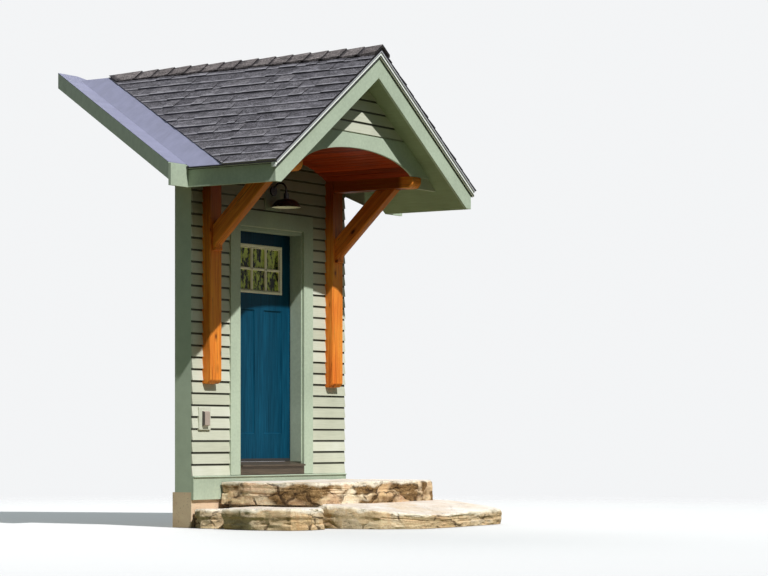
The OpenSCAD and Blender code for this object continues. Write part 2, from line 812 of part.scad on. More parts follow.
// Leaf with a glazed opening over two tall sunk panels on each face.
module door_leaf() {
    panel_x1 = leaf_half - stile_w;
    color("teal") difference() {
        slab([-leaf_half, leaf_y0, leaf_z0], [leaf_half, leaf_y1, leaf_z1]);
        slab([-lite_half_w, leaf_y0 - 1, lite_z0], [lite_half_w, leaf_y1 + 1, lite_z1]);
        for (s = [-1, 1], y = [leaf_y0 - 1, leaf_y1 - panel_depth])
            slab([s > 0 ? mid_stile_half : -panel_x1, y, panel_z0],
                 [s > 0 ? panel_x1 : -mid_stile_half, y + panel_depth + 1, panel_z1]);
    }
}

// Flat frames on both faces, holding the glass between them.
module door_lite_frame() {
    color("tan") for (y = [leaf_y0 - lite_frame_t, leaf_y1])
        difference() {
            slab([-lite_half_w - lite_frame_w, y, lite_z0 - lite_frame_w],
                 [lite_half_w + lite_frame_w, y + lite_frame_t, lite_z1 + lite_frame_w]);
            slab([-lite_half_w + 4, y - 1, lite_z0 + 4],
                 [lite_half_w - 4, y + lite_frame_t + 1, lite_z1 - 4]);
        }
}

module door_glass() {
    mid = (leaf_y0 + leaf_y1) / 2;
    color("lightblue", 0.5)
        slab([-lite_half_w, mid - glass_t / 2, lite_z0], [lite_half_w, mid + glass_t / 2, lite_z1]);
}

// Knob and bolt lock on both faces.
module door_handles() {
    color("black") for (face = [0, 1])
        translate([knob_x, face ? leaf_y1 : leaf_y0, 0]) rotate([face ? -90 : 90, 0, 0]) {
            translate([0, face ? -knob_z : knob_z, 0]) rotate_extrude()
                polygon([[0, 0], [32, 0], [32, 5], [14, 9], [12, 30], [22, 36], [27, 46], [25, 56],
                         [16, 62], [0, 63]]);
            translate([0, face ? -knob_z - bolt_rise : knob_z + bolt_rise, 0]) rotate_extrude()
                polygon([[0, 0], [30, 0], [29, 10], [16, 14], [14, 22], [0, 22]]);
        }
}

// Centre knuckles and plates of three butt hinges, on the leaf.
module door_hinges() {
    plate_t = 2;
    knuckle = barrel_h * 0.4;
    color("silver") for (z = hinge_zs) difference() {
        union() {
            translate([pin_x, pin_y, z - knuckle / 2]) cylinder(h = knuckle, r = barrel_r);
            slab([leaf_half, leaf_y0 + 8, z - knuckle / 2],
                 [leaf_half + plate_t, pin_y, z + knuckle / 2]);
        }
        translate([pin_x, pin_y, z - knuckle]) cylinder(h = 2 * knuckle, r = barrel_r - 3);
    }
}

// End knuckles, plates and pins of the hinges, on the jamb.
module jamb_hinges() {
    plate_t = 2;
    knuckle = barrel_h * 0.4;
    color("silver") for (z = hinge_zs) union() {
        for (s = [-1, 1]) {
            z0 = s > 0 ? z + knuckle / 2 + 0.5 : z - barrel_h / 2;
            translate([pin_x, pin_y, z0]) cylinder(h = (barrel_h - knuckle) / 2 - 0.5, r = barrel_r);
            slab([opening_half - plate_t, leaf_y0 + 8, z0],
                 [opening_half, pin_y, z0 + (barrel_h - knuckle) / 2 - 0.5]);
        }
        translate([pin_x, pin_y, z - barrel_h / 2]) cylinder(h = barrel_h, r = barrel_r - 3.4);
    }
}

foundation_wall();
sill_beam();
skirt_board();
wall_left();
wall_right();
wall_over_door();
wall_upper_panel();
jamb_left();
jamb_right();
jamb_head();
threshold();
door_casing();
inside_casing();
wall_posts();
beams();
braces();
vault_ceiling();
gable_wall();
arch_trim();
roof_frame_left();
roof_frame_right();
shingles_left();
shingles_right();
ridge_cap();
rake_board_left();
rake_board_right();
rake_trim();
eave_fascias();
main_fascia();
soffit_left();
soffit_right();
valley_flashing_left();
valley_flashing_right();
main_roof_deck();
lamp_block();
lamp_arm();
lamp_bulb();
lamp_shade();
outlet_block();
stone_landing();
stone_step();
stone_edging();
door_leaf();
door_lite_frame();
door_glass();
door_handles();
door_hinges();
jamb_hinges();
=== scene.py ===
# %% [markdown]
# # An entrance porch, dressed
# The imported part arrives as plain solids: a wall bay with a door, a gabled roof on two
# timber brackets, a vault and a stone landing. The cells below add what a solid leaves
# out, such as clapboards, shingles, grain and weathered stone, each in the place that the
# solids already give it.

# %% Load the frame
import bmesh
import bpy
import numpy as np
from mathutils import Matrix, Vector


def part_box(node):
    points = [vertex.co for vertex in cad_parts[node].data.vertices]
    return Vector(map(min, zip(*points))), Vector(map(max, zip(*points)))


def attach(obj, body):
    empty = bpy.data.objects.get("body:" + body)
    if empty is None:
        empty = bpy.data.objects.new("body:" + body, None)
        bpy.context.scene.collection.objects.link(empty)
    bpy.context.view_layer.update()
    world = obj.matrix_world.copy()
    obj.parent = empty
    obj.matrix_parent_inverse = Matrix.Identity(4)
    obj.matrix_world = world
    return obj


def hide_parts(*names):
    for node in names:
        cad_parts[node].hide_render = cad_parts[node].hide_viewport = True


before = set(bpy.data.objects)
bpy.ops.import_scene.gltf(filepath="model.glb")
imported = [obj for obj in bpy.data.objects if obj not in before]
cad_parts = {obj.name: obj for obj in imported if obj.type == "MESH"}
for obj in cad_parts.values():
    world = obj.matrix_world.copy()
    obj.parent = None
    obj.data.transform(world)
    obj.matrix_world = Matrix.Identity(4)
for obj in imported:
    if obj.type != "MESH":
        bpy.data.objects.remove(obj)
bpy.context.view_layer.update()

# %% [markdown]
# ## The camera
# The picture was taken from far to the left with a long lens held level, so uprights stay
# upright. Blender does the same with a level camera and a vertical shift, which slides the
# picture up without leaning the lens back.

# %% Camera
# The focal length and the horizon's height are in pixels of the picture.
PICTURE_WIDTH = 768
PICTURE_HEIGHT = 576
FOCAL_LENGTH = 2499.66
HORIZON = 438.2
lens = bpy.data.cameras.new("porch_camera")
lens.sensor_width = 36
lens.lens = FOCAL_LENGTH * lens.sensor_width / PICTURE_WIDTH
lens.shift_y = (HORIZON - PICTURE_HEIGHT / 2) / PICTURE_WIDTH
lens.clip_end = 200
camera = bpy.data.objects.new("porch_camera", lens)
camera.location = (-17.873, -13.136, 0.76)
camera.rotation_euler = (np.radians(90), 0, np.radians(-56.28))
bpy.context.scene.collection.objects.link(camera)
bpy.context.scene.camera = camera
print("lens", round(lens.lens, 1), "mm, shift", round(lens.shift_y, 3))

# %% [markdown]
# ## Shader maths as Python
# A material is a graph of nodes, which is slow to read when it is wired one link at a
# time. Here a small class wraps an output socket, so that 1 - mask or grain * 0.3 adds its
# own Math node. Colours can't pass a Math node, which would turn them grey, so they go
# through Mix. One method makes every other node: its settings first, then its sockets. A
# finish is the graph of one material, with the patterns that the cells below share.

# %% Colours and wires
def paint(red, green, blue):
    """A colour given as 0 to 255 on screen, turned into the linear light that shaders use."""
    share = np.array([red, green, blue]) / 255
    linear = np.where(share <= 0.04045, share / 12.92, ((share + 0.055) / 1.055) ** 2.4)
    return (*linear, 1.0)


def operator(operation, swapped=False):
    """A method that adds a Math node; swapped puts the other value before the wire."""
    def method(self, other=0.0):
        first, second = (other, self) if swapped else (self, other)
        return self.graph.node("Math", {"operation": operation}, {0: first, 1: second})
    return method


class Wire:
    """An output socket, with the operators that stand for Math nodes."""

    def __init__(self, graph, socket):
        self.graph = graph
        self.socket = socket

    __add__ = __radd__ = operator("ADD")
    __sub__ = operator("SUBTRACT")
    __rsub__ = operator("SUBTRACT", swapped=True)
    __mul__ = __rmul__ = operator("MULTIPLY")
    __abs__ = operator("ABSOLUTE")
    fraction = operator("FRACT")


class Graph:
    """A node tree, and the one method that makes its nodes."""

    def __init__(self, tree):
        self.tree = tree

    def link(self, socket, value):
        """Wires a value to a socket, or writes it there if it is only a number or a colour."""
        if isinstance(value, Wire):
            self.tree.links.new(value.socket, socket)
        else:
            socket.default_value = value

    def node(self, kind, settings=None, sockets=None, output=0):
        """Any node: its settings are written first, then its sockets are set or wired."""
        made = self.tree.nodes.new("ShaderNode" + kind)
        for key, value in (settings or {}).items():
            if key == "stops":
                ramp = made.color_ramp.elements
                ramp[0].position = value[0][0]
                ramp[1].position = value[-1][0]
                for place, colour in value[1:-1]:
                    ramp.new(place)
                for stop, (place, colour) in zip(ramp, value):
                    stop.color = colour
            else:
                setattr(made, key, value)
        for key, value in (sockets or {}).items():
            self.link(made.inputs[key], value)
        return Wire(self, made.outputs[output])

    def between(self, value, low, high, least=0.0, most=1.0):
        """From least below low to most above high, with an eased step from one to the other."""
        return self.node("MapRange", {"interpolation_type": "SMOOTHSTEP"},
                         {0: value, 1: low, 2: high, 3: least, 4: most})


print("colours and wires ready")

# %% Finishes
class Finish(Graph):
    """A material with one Principled shader, and the wires that its pattern needs."""

    def __init__(self, name, colour, roughness=0.6, **constants):
        self.material = bpy.data.materials.new(name)
        self.material.use_nodes = True
        super().__init__(self.material.node_tree)
        self.shader = self.tree.nodes["Principled BSDF"]
        self.place = self.node("TexCoord", output="Object")
        self.colour = colour
        self.set("Base Color", colour)
        self.set("Roughness", roughness)
        for socket, value in constants.items():
            self.set(socket.replace("_", " "), value)

    def set(self, socket, value):
        self.link(self.shader.inputs[socket], value)

    def mix(self, factor, first, second, way="MIX"):
        """A colour between two others."""
        settings = {"data_type": "RGBA", "blend_type": way}
        return self.node("Mix", settings, {0: factor, 6: first, 7: second}, 2)

    def coat(self, colour, *layers):
        """The colour under others; a layer is a mask and a colour of 0 to 255."""
        for mask, tone in layers:
            colour = self.mix(mask, colour, paint(*tone))
        return colour

    def tint(self, colour, *grains):
        """The colour, brighter where a grain is over a half and darker where it is under.

        A grain is a wire and the amount by which it tints.
        """
        for wire, amount in grains:
            grey = (wire - 0.5) * (2 * amount) + 0.5
            grey = self.node("CombineColor", {}, {0: grey, 1: grey, 2: grey})
            colour = self.mix(1.0, colour, grey, "OVERLAY")
        return colour

    def scaled(self, scale, place):
        """A place for a pattern; scale is one number or three, per metre along x, y and z."""
        spread = tuple(np.ones(3) * scale)
        return self.node("Mapping", {}, {"Vector": place or self.place, "Scale": spread})

    def noise(self, scale, detail, roughness, place=None):
        """Cloudy noise; scale gives its waves per metre."""
        return self.node("TexNoise", {}, {"Vector": self.scaled(scale, place), "Scale": 1.0,
                                          "Detail": detail, "Roughness": roughness})

    def cells(self, scale, place, feature="F1", output="Distance"):
        """A pattern of cells; scale gives how many lie in a metre."""
        return self.node("TexVoronoi", {"feature": feature},
                         {"Vector": self.scaled(scale, place), "Scale": 1.0}, output)

    def axis(self, letter, of="Object"):
        """One coordinate of the surface point in metres, or of its Normal, from -1 to 1."""
        return self.node("SeparateXYZ", {}, {0: self.node("TexCoord", output=of)}, letter)

    def roof_shade_mask(self, low, high, near=-0.15, far=0.1):
        """From 0 at the height low to 1 at high, near the wall: where shade is painted under the porch
        roof.
        """
        y = self.axis("Y")
        band = self.between(y, near, near + 0.07) * (1 - self.between(y, far, far + 0.06))
        return self.between(self.axis("Z"), low, high) * band

    def attribute(self, name):
        """A number that the mesh carries at each point."""
        return self.node("Attribute", {"attribute_name": name}, {}, "Fac")

    def bump(self, height, depth):
        """Relief: height runs from 0 to 1 and depth is its size in metres."""
        self.set("Normal", self.node("Bump", {}, {"Height": height, "Distance": depth}))


print("finishes ready")

# %% [markdown]
# ## Painted boards
# All the boards are painted wood. Brush marks run along a clapboard and the sun bleaches
# patches. Shade is painted on as a dark strip just under each lap and on the top of the
# wall under the porch roof. The noise is stretched along the board, and two numbers
# carried by the mesh make neighbours differ and find the laps.

# %% Paints for siding and trim
def board_paint(name, colour, grain, boards=False, roughness=0.55):
    """Brushed paint: fine noise stretched along the grain moves the relief and the gloss."""
    finish = Finish(name, colour, Specular_IOR_Level=0.15)
    brush = finish.noise(grain, 4, 0.6)
    shown = finish.tint(colour, (finish.noise((1.7, 1.7, 1.3), 3, 0.55), 0.16), (brush, 0.10))
    if boards:
        # Painted shadow: a dark strip on each clapboard just under the lap above it.
        painted_lap_shadow = finish.between(finish.attribute("rise"), 0.78, 0.86)
        shown = finish.tint(shown, (finish.attribute("shade"), 0.07))
        shown = finish.coat(shown, (painted_lap_shadow * 0.93, (22, 22, 10)))
    # Painted shade: the top of the wall and trim under the porch roof is darkened.
    shown = finish.coat(shown, (finish.roof_shade_mask(2.35, 2.90) * 0.66, (60, 54, 22)))
    finish.set("Base Color", shown)
    finish.set("Roughness", brush * 0.16 + (roughness - 0.08))
    finish.bump(brush, 0.0006)
    return finish


sage = paint(196, 197, 178)
moss = paint(176, 188, 166)
siding_paint = board_paint("siding_paint", sage, (5, 60, 160), boards=True)
trim_paint = board_paint("trim_paint", moss, 40)
soffit_paint = board_paint("soffit_paint", paint(146, 158, 126), (60, 6, 60))
pale_paint = board_paint("pale_paint", paint(248, 251, 243), 40)
inside_paint = board_paint("inside_paint", paint(224, 221, 210), (30, 30, 8))
print("paints:", [m.name for m in bpy.data.materials])

# %% [markdown]
# ## Wall core
# The wall solids are plaster inside the house and trim paint at the two ends, where the
# house would go on, and keep the siding's colour behind the clapboards. One material does
# all three, because it can read how far in a point lies and which way its face looks.

# %% Wall core
plaster = paint(226, 222, 211)
wall_core = Finish("wall_core", plaster, 0.8)
trowel = wall_core.noise(9, 5, 0.6)
inner_side = wall_core.between(wall_core.axis("Y"), 0.004, 0.012)
cut_end = wall_core.between(abs(wall_core.axis("X", "Normal")), 0.7, 0.9)
core_tone = wall_core.mix(cut_end, wall_core.mix(inner_side, sage, plaster), moss)
wall_core.set("Base Color", wall_core.tint(core_tone, (trowel, 0.08)))
wall_core.bump(trowel, 0.0012)
print("plaster, siding colour and trim paint in one finish")

# %% House framing
BOARD_WIDTH = 0.24
framing = Finish("framing", paint(190, 160, 120), 0.75)
streak = framing.noise((4, 80, 80), 5, 0.65)
level = framing.between(abs(framing.axis("Z", "Normal")), 0.45, 0.6)
off_middle = abs((framing.axis("Y") * (1 / BOARD_WIDTH)).fraction() - 0.5)
joint = framing.between(off_middle, 0.475, 0.497) * level
wood = framing.mix(framing.between(streak, 0.3, 0.7), framing.colour, paint(156, 124, 86))
wood = framing.coat(wood, (joint * 0.75, (60, 44, 30)))
edge = framing.tint(moss, (framing.noise(14, 4, 0.6), 0.12))
framing.set("Base Color", framing.mix(level, edge, wood))
framing.bump(streak * 0.4 - joint, 0.002)
print("raw boards", BOARD_WIDTH, "m wide")

# %% Concrete
concrete = Finish("concrete", paint(212, 182, 152), 0.85)
cloud = concrete.noise((2.2, 2.2, 3.5), 5, 0.6)
pits = concrete.between(concrete.noise(90, 2, 0.5), 0.62, 0.72)
damp = 1 - concrete.between(concrete.axis("Z") + cloud * 0.12, 0.03, 0.16)
shown = concrete.tint(concrete.colour, (cloud, 0.30))
shown = concrete.coat(shown, (damp * 0.45, (150, 122, 92)), (pits * 0.5, (120, 98, 78)))
concrete.set("Base Color", shown)
concrete.bump(cloud * 0.5 - pits * 0.5, 0.004)
print("concrete, pitted and damp at its foot")

# %% [markdown]
# ## Timber
# The brackets are sawn fir, oiled to a warm orange. Along a timber the grain is long and
# nearly straight, knots show as dark ovals with a paler ring, and drying opens thin
# checks. Each timber's pattern is turned so that its grain follows its own length: upright
# in the posts, level in the beams and raked in the braces. Under the roof a dark red brown
# is painted on the wood as shade.

# %% Timber finish
def timber(name, lean, light=(244, 152, 60), dark=(212, 114, 38), roof_shade_amount=0.85, boards=False):
    """Grain along z, after the pattern is turned about the x axis by lean degrees.

    roof_shade_amount is how strongly shade is painted on the wood under the roof. Thin
    boards have neither knots nor that painted shade, and each takes its own tone from the mesh.
    """
    finish = Finish(name, paint(*light), Specular_IOR_Level=0.1)
    turn = finish.node("Mapping", {}, {"Vector": finish.place, "Rotation": (np.radians(lean), 0, 0)})
    rings = finish.noise((46, 46, 1.9), 5, 0.62, turn)
    fine = finish.noise((210, 210, 6), 3, 0.6, turn)
    check = finish.noise((34, 34, 0.7), 1, 0.4, turn)
    check = 1 - finish.between(abs(check - 0.55), 0.0, 0.012)
    wood = finish.mix(finish.between(rings, 0.28, 0.72), paint(*dark), finish.colour)
    wood = finish.tint(wood, (finish.noise((3, 3, 1.1), 2, 0.5, turn), 0.30), (fine, 0.34))
    if not boards:
        cell = finish.cells((8.0, 8.0, 4.2), turn)
        ring = 1 - finish.between(cell, 0.11, 0.28)
        heart = 1 - finish.between(cell, 0.07, 0.13)
        # Painted shade: the wood under the porch roof, near the wall, is darkened to red brown.
        wood = finish.coat(wood, (finish.roof_shade_mask(2.3, 2.95, -0.86, 0.1) * roof_shade_amount, (112, 38, 8)),
                           (ring * 0.35, (120, 54, 18)), (heart * 0.85, (66, 26, 10)))
        check = check * (1 - heart)
    wood = finish.coat(wood, (check * 0.7, (92, 40, 14)))
    if boards:
        wood = finish.tint(wood, (finish.attribute("shade"), 0.25))
    finish.set("Base Color", wood)
    finish.set("Roughness", rings * 0.2 + 0.38)
    finish.bump(fine * 0.3 + rings * 0.3 - check, 0.0012)
    return finish


timber_upright = timber("timber_upright", 0)
timber_level = timber("timber_level", 90)
timber_raked = timber("timber_raked", -46.8, roof_shade_amount=0.4)
print("timber ready in three directions")

# %% [markdown]
# ## Studio
# A plain pale floor carries the shadow, and fades out where nothing stands, so no horizon
# cuts the picture. It is pale only to the camera: to other rays it is dark and warm, so the
# undersides stay in shade. The key sun stands high in front, a little to the left, which
# throws the eaves' shadow down the wall and the shingles' shadow under each course, and a
# broad sun behind lifts the far side. The world fills the rest with a cool light that comes
# from high up, and looks paler to the camera, to gloss and to glass than the light it gives.

# %% Floor
FLOOR_RADIUS = 30
FLOOR_POINTS = 96
turn = np.linspace(0, 2 * np.pi, FLOOR_POINTS, endpoint=False)
disc = np.stack([FLOOR_RADIUS * np.cos(turn), FLOOR_RADIUS * np.sin(turn), 0 * turn - 0.003], 1)
mesh = bpy.data.meshes.new("floor")
mesh.from_pydata(disc.tolist(), [], [list(range(FLOOR_POINTS))])
floor = bpy.data.objects.new("floor", mesh)

ground = Finish("studio_floor", (0.80, 0.80, 0.79, 1), 0.9)
watched = ground.node("LightPath", output="Is Camera Ray")
ground.set("Base Color", ground.mix(watched, (0.155, 0.155, 0.07, 1), (0.68, 0.665, 0.655, 1)))
away = ground.node("VectorMath", {"operation": "LENGTH"}, {0: ground.place}, "Value")
fade = ground.node("MixShader", {}, {0: ground.between(away, 4.0, 12.0),
                                     1: Wire(ground, ground.shader.outputs[0]),
                                     2: ground.node("BsdfTransparent")})
ground.link(ground.tree.nodes["Material Output"].inputs["Surface"], fade)
floor.data.materials.append(ground.material)
bpy.context.scene.collection.objects.link(floor)
print("floor fades out between 4 and 12 m from the middle")

# %% Suns and world
# A sun has a name, the way its light travels, a strength, and a width in degrees.
for name, travel, strength, softness in (("key", (0.283, 1.0, -1.23), 4.35, 0.7),
                                         ("back", (-0.45, -0.70, -0.50), 1.1, 40)):
    light = bpy.data.lights.new(name, "SUN")
    light.energy = strength
    light.angle = np.radians(softness)
    sun = bpy.data.objects.new(name, light)
    sun.rotation_euler = Vector(travel).to_track_quat("-Z", "Y").to_euler()
    bpy.context.scene.collection.objects.link(sun)

world = bpy.data.worlds.new("studio")
bpy.context.scene.world = world
world.use_nodes = True
sky = Graph(world.node_tree)
rising = sky.node("SeparateXYZ", {}, {0: sky.node("TexCoord", output="Generated")}, "Z")
fill = sky.tree.nodes["Background"]
sky.link(fill.inputs["Color"], (0.62, 0.90, 1.0, 1))
sky.link(fill.inputs["Strength"], sky.between(rising, 0.05, 0.75, 0.01, 0.32))
pale = sky.node("Background", {}, {"Color": (0.90, 0.91, 0.92, 1)})
watched, glossy, through = (sky.node("LightPath", output=f"Is {ray} Ray")
                            for ray in ("Camera", "Glossy", "Transmission"))
seen = sky.node("Math", {"operation": "ADD", "use_clamp": True}, {0: watched + glossy, 1: through})
choose = sky.node("MixShader", {}, {0: seen, 1: Wire(sky, fill.outputs[0]), 2: pale})
sky.link(sky.tree.nodes["World Output"].inputs["Surface"], choose)
bpy.context.scene.view_settings.view_transform = "Standard"
print("two suns and the world are set")

# %% [markdown]
# ## Putting arrays into meshes
# Every new piece is worked out as whole arrays of points and faces. One function hands
# them to Blender in bulk, gives the object its finish, and lets it ride on a body of the
# part, so that the door's pieces swing with the door.

# %% Closed shapes
CAPS = {4: [[0, 1, 2, 3]], 6: [[0, 1, 4, 5], [1, 2, 3, 4]]}


def outward(points, faces, per_part=None):
    """Points and faces, with a part's faces turned round where it encloses less than nothing.

    The volume is a sixth of the sum over all triangles of p0 . (p1 x p2).
    """
    per_part = per_part or len(faces)
    a, b, c, d = (points[faces[:, i]] for i in range(4))
    volume = np.einsum("ij,ij->i", a, np.cross(b, c)) + np.einsum("ij,ij->i", a, np.cross(c, d))
    wrong = np.repeat(volume.reshape(-1, per_part).sum(1) < 0, per_part)
    return points, np.where(wrong[:, None], faces[:, ::-1], faces)


def bars(first, last):
    """Closed bars between matching outlines, as arrays of (bars, corners, 3) points.

    The sides join each corner to the next and to its twin at the other end. One face
    closes an outline of four corners, and two faces close one of six.
    """
    count, corners, _ = first.shape
    ring = np.arange(corners)
    after = np.roll(ring, -1)
    sides = np.stack([ring, after, after + corners, ring + corners], 1)
    cap = np.array(CAPS[corners])
    each = np.concatenate([sides, cap[:, ::-1], cap + corners])
    faces = (np.arange(count)[:, None, None] * 2 * corners + each).reshape(-1, 4)
    return outward(np.concatenate([first, last], 1).reshape(-1, 3), faces, len(each))


def ring_faces(rings, corners, closed=True):
    """Faces between neighbouring rings of points; closed joins the last ring to the first."""
    r, c = np.meshgrid(np.arange(rings if closed else rings - 1), np.arange(corners), indexing="ij")
    r1 = (r + 1) % rings
    c1 = (c + 1) % corners
    around = [r * corners + c, r * corners + c1, r1 * corners + c1, r1 * corners + c]
    return np.stack(around, -1).reshape(-1, 4)


def joined(shapes):
    """Several shapes, each of points and faces, as one with the later faces renumbered."""
    offset = np.cumsum([0] + [len(points) for points, _ in shapes[:-1]])
    return (np.concatenate([points for points, _ in shapes]),
            np.concatenate([faces + start for (_, faces), start in zip(shapes, offset)]))


print("shapes: bars and rings")

# %% Pieces and CAD nodes
def as_object(name, mesh, finish, body, smooth, replaces):
    """Makes a mesh an object with its finish, riding on a body of the part.

    smooth is the angle in degrees up to which it is shaded smooth.
    """
    mesh.materials.append(finish.material)
    if smooth:
        mesh.shade_smooth()
        mesh.set_sharp_from_angle(angle=np.radians(smooth))
    else:
        mesh.shade_flat()
    made = bpy.data.objects.new(name, mesh)
    bpy.context.scene.collection.objects.link(made)
    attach(made, body)
    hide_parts(*replaces)
    return made


def add_piece(name, shape, finish, slot, body="porch", replaces=(), smooth=None, **numbers):
    """A piece from an array of points and one of four-cornered faces.

    Each of the numbers is carried by the mesh, with a value for every point.
    """
    points, faces = shape
    mesh = bpy.data.meshes.new(name)
    mesh.from_pydata(points.tolist(), [], faces.tolist())
    for key, values in numbers.items():
        layer = mesh.attributes.new(key, "FLOAT", "POINT")
        layer.data.foreach_set("value", np.asarray(values, np.float32).ravel())
    as_object(name, mesh, finish, body, smooth, replaces)
    print(name, len(points), "points,", len(faces), "faces")


def dress(finish, slot, *names):
    """Gives CAD nodes a finish and leaves their shape alone."""
    for name in names:
        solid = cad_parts[name]
        solid.data.materials.clear()
        solid.data.materials.append(finish.material)


def eased(name, finish, width, body="porch", steps=2):
    """A copy of a CAD node with its corners merged and its arrises rounded to a width."""
    shape = bmesh.new()
    shape.from_mesh(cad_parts[name].data)
    bmesh.ops.remove_doubles(shape, verts=shape.verts, dist=1e-5)
    bmesh.ops.dissolve_limit(shape, angle_limit=np.radians(0.4), verts=shape.verts,
                             edges=shape.edges)
    mesh = bpy.data.meshes.new(name + "_eased")
    shape.to_mesh(mesh)
    shape.free()
    made = as_object(name + "_eased", mesh, finish, body, 40, [name])
    if width:
        bevel = made.modifiers.new("eased arris", "BEVEL")
        bevel.width = width
        bevel.segments = steps
        bevel.angle_limit = np.radians(30)


print("pieces: added, dressed or eased")

# %% [markdown]
# ## Clapboards
# The wall is clad in wedge-shaped boards, four inches to the weather. A board is thick at
# its foot and thin where the next one laps it, so each casts a crisp line of shadow. Every
# board is a closed wedge: the face leans in from the butt to the tip, and a board that is
# cut short by the casing or the soffit keeps that same leaning plane.

# %% Boards from rows
rng = np.random.default_rng(11)
EXPOSURE = 0.1016
LAP = 0.003
BUTT = 0.0175
TIP = 0.004


def add_boards(name, rows, y_face):
    """Closed wedges against a wall at y_face, one from each row.

    A row gives the height of its course, where the board is cut at its foot and head, its
    ends at the foot, and those at the head unless they are the same. The face stands off
    the wall by a thickness that falls in a straight line from butt to tip. Each point
    carries its rise, the share of the exposure at which it lies over the course, and each
    board a shade of its own.
    """
    full = [row if len(row) == 7 else row + row[3:] for row in rows]
    course, low, high, *ends = np.array(full, float).T
    z = np.stack([low, low, high, high], 1)
    above = z - course[:, None]
    proud = (BUTT - (BUTT - TIP) * above / (EXPOSURE + LAP)) * [0, 1, 1, 0]
    left, right = (np.stack([np.stack([foot, foot, head, head], 1), y_face - proud, z], -1)
                   for foot, head in zip(ends[:2], ends[2:]))
    shade = np.repeat(rng.uniform(0, 1, len(rows)), 8)
    add_piece(name, bars(left, right), siding_paint, "siding",
              shade=shade, rise=np.tile(above / EXPOSURE, 2))


print("exposure", EXPOSURE, "m")

# %% Clapboards
# An apex is where a sloping cut would meet its mirror image over the middle.
COURSES = 28
LAST_BESIDE_DOOR = 22
LAST_UNDER_VAULT = 24
UNEVEN = 0.0012
POST_INSIDE = 0.8295
FALL = 0.71
SOFFIT_APEX = 3.9
VAULT_HALF = 0.93
VAULT_RISE = 0.3
VAULT_SPRING = 2.971
skirt_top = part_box("skirt_board")[1].z
casing_low, casing_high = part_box("door_casing")
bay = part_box("wall_right")[1].x
post_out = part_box("wall_posts")[1].x
rows = []
for number in range(COURSES):
    course = skirt_top + EXPOSURE * number
    low = course + rng.uniform(-UNEVEN, UNEVEN)
    high = course + EXPOSURE + LAP
    if number <= LAST_BESIDE_DOOR:
        spans = [(-bay, casing_low.x), (casing_high.x, bay)]
    elif number <= LAST_UNDER_VAULT:
        spans = [(-bay, bay)]
    else:
        up = (low - VAULT_SPRING) / VAULT_RISE
        half = min(POST_INSIDE, VAULT_HALF * np.sqrt(max(0.0, 1 - up ** 2)))
        spans = [(-half, half)]
        outer = min(bay, (SOFFIT_APEX - high) / FALL)
        if outer > post_out:
            spans += [(-bay, -post_out, -outer, -post_out), (post_out, bay, post_out, outer)]
    rows += [(course, low, high, *span) for span in spans]
    if number == LAST_BESIDE_DOOR:
        rows.append((course, casing_high.z, high, casing_low.x, casing_high.x))
add_boards("clapboards", rows, 0.0)

# %% Gable clapboards
GABLE_APEX = 3.8995
GABLE_TOP = 3.893
GABLE_COURSES = 5
FIRST_BUTT = 0.011
ARCH_GAP = 0.013
gable_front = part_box("gable_wall")[0].y
arch_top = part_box("arch_trim")[1].z
rows = []
for number in range(GABLE_COURSES):
    course = arch_top + FIRST_BUTT + EXPOSURE * number
    low = max(course, arch_top + ARCH_GAP)
    high = min(course + EXPOSURE + LAP, GABLE_TOP)
    foot = (GABLE_APEX - low) / FALL
    head = (GABLE_APEX - high) / FALL
    rows.append((course, low, high, -foot, foot, -head, head))
add_boards("gable_clapboards", rows, gable_front)

# %% [markdown]
# ## Trim, walls and foundation
# Flat boards are already right as solids. What a solid lacks is the softened arris that
# catches the light, so the boards in front are copied with a small bevel, and the solids
# behind them only take a finish.

# %% Trim and walls
dress(wall_core, "siding", "wall_left", "wall_right", "wall_over_door", "wall_upper_panel")
dress(siding_paint, "siding", "gable_wall")
dress(concrete, "concrete", "foundation_wall")
dress(framing, "framing", "sill_beam", "roof_frame_left", "roof_frame_right", "main_roof_deck")
dress(inside_paint, "inside_paint", "inside_casing")
dress(soffit_paint, "trim", "soffit_left", "soffit_right")
dress(trim_paint, "trim", "jamb_left", "jamb_right", "jamb_head", "main_fascia")
for name in ("door_casing", "arch_trim", "rake_board_left", "rake_board_right",
             "eave_fascias", "skirt_board", "lamp_block"):
    eased(name, trim_paint, 0.0025)
eased("rake_trim", pale_paint, 0.0025)
print("trim eased")

# %% [markdown]
# ## Brackets
# Post, beam and brace keep the solids' joinery. Their arrises were planed off by hand,
# wide enough to show as a pale line from far away.

# %% Brackets
for name, finish in (("wall_posts", timber_upright), ("beams", timber_level), ("braces", timber_raked)):
    eased(name, finish, 0.006, steps=1)
print("brackets ready")

# %% [markdown]
# ## Vault
# The ceiling is a barrel of narrow boards that run from the wall to the mouth. A board is
# a bar along y whose outline takes a short piece of the ellipse, with its two edges
# bevelled, so that neighbours meet in a V. Points on the ellipse come from x = a cos t and
# z = z0 + b sin t, spaced evenly along the arc.

# %% Vault boards
VAULT_BOARDS = 22
GROOVE = 0.006
BACK = 0.017
vault_finish = timber("vault_boards", 90, (166, 62, 22), (130, 42, 12), boards=True)
vault_low, vault_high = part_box("vault_ceiling")
half_span = vault_high.x


def vault_line(t, lift=0.0):
    """Points (x, z) of the ellipse at the angles t, moved out by lift."""
    return np.stack([(VAULT_HALF + lift) * np.cos(t),
                     VAULT_SPRING + (VAULT_RISE + lift) * np.sin(t)], -1)


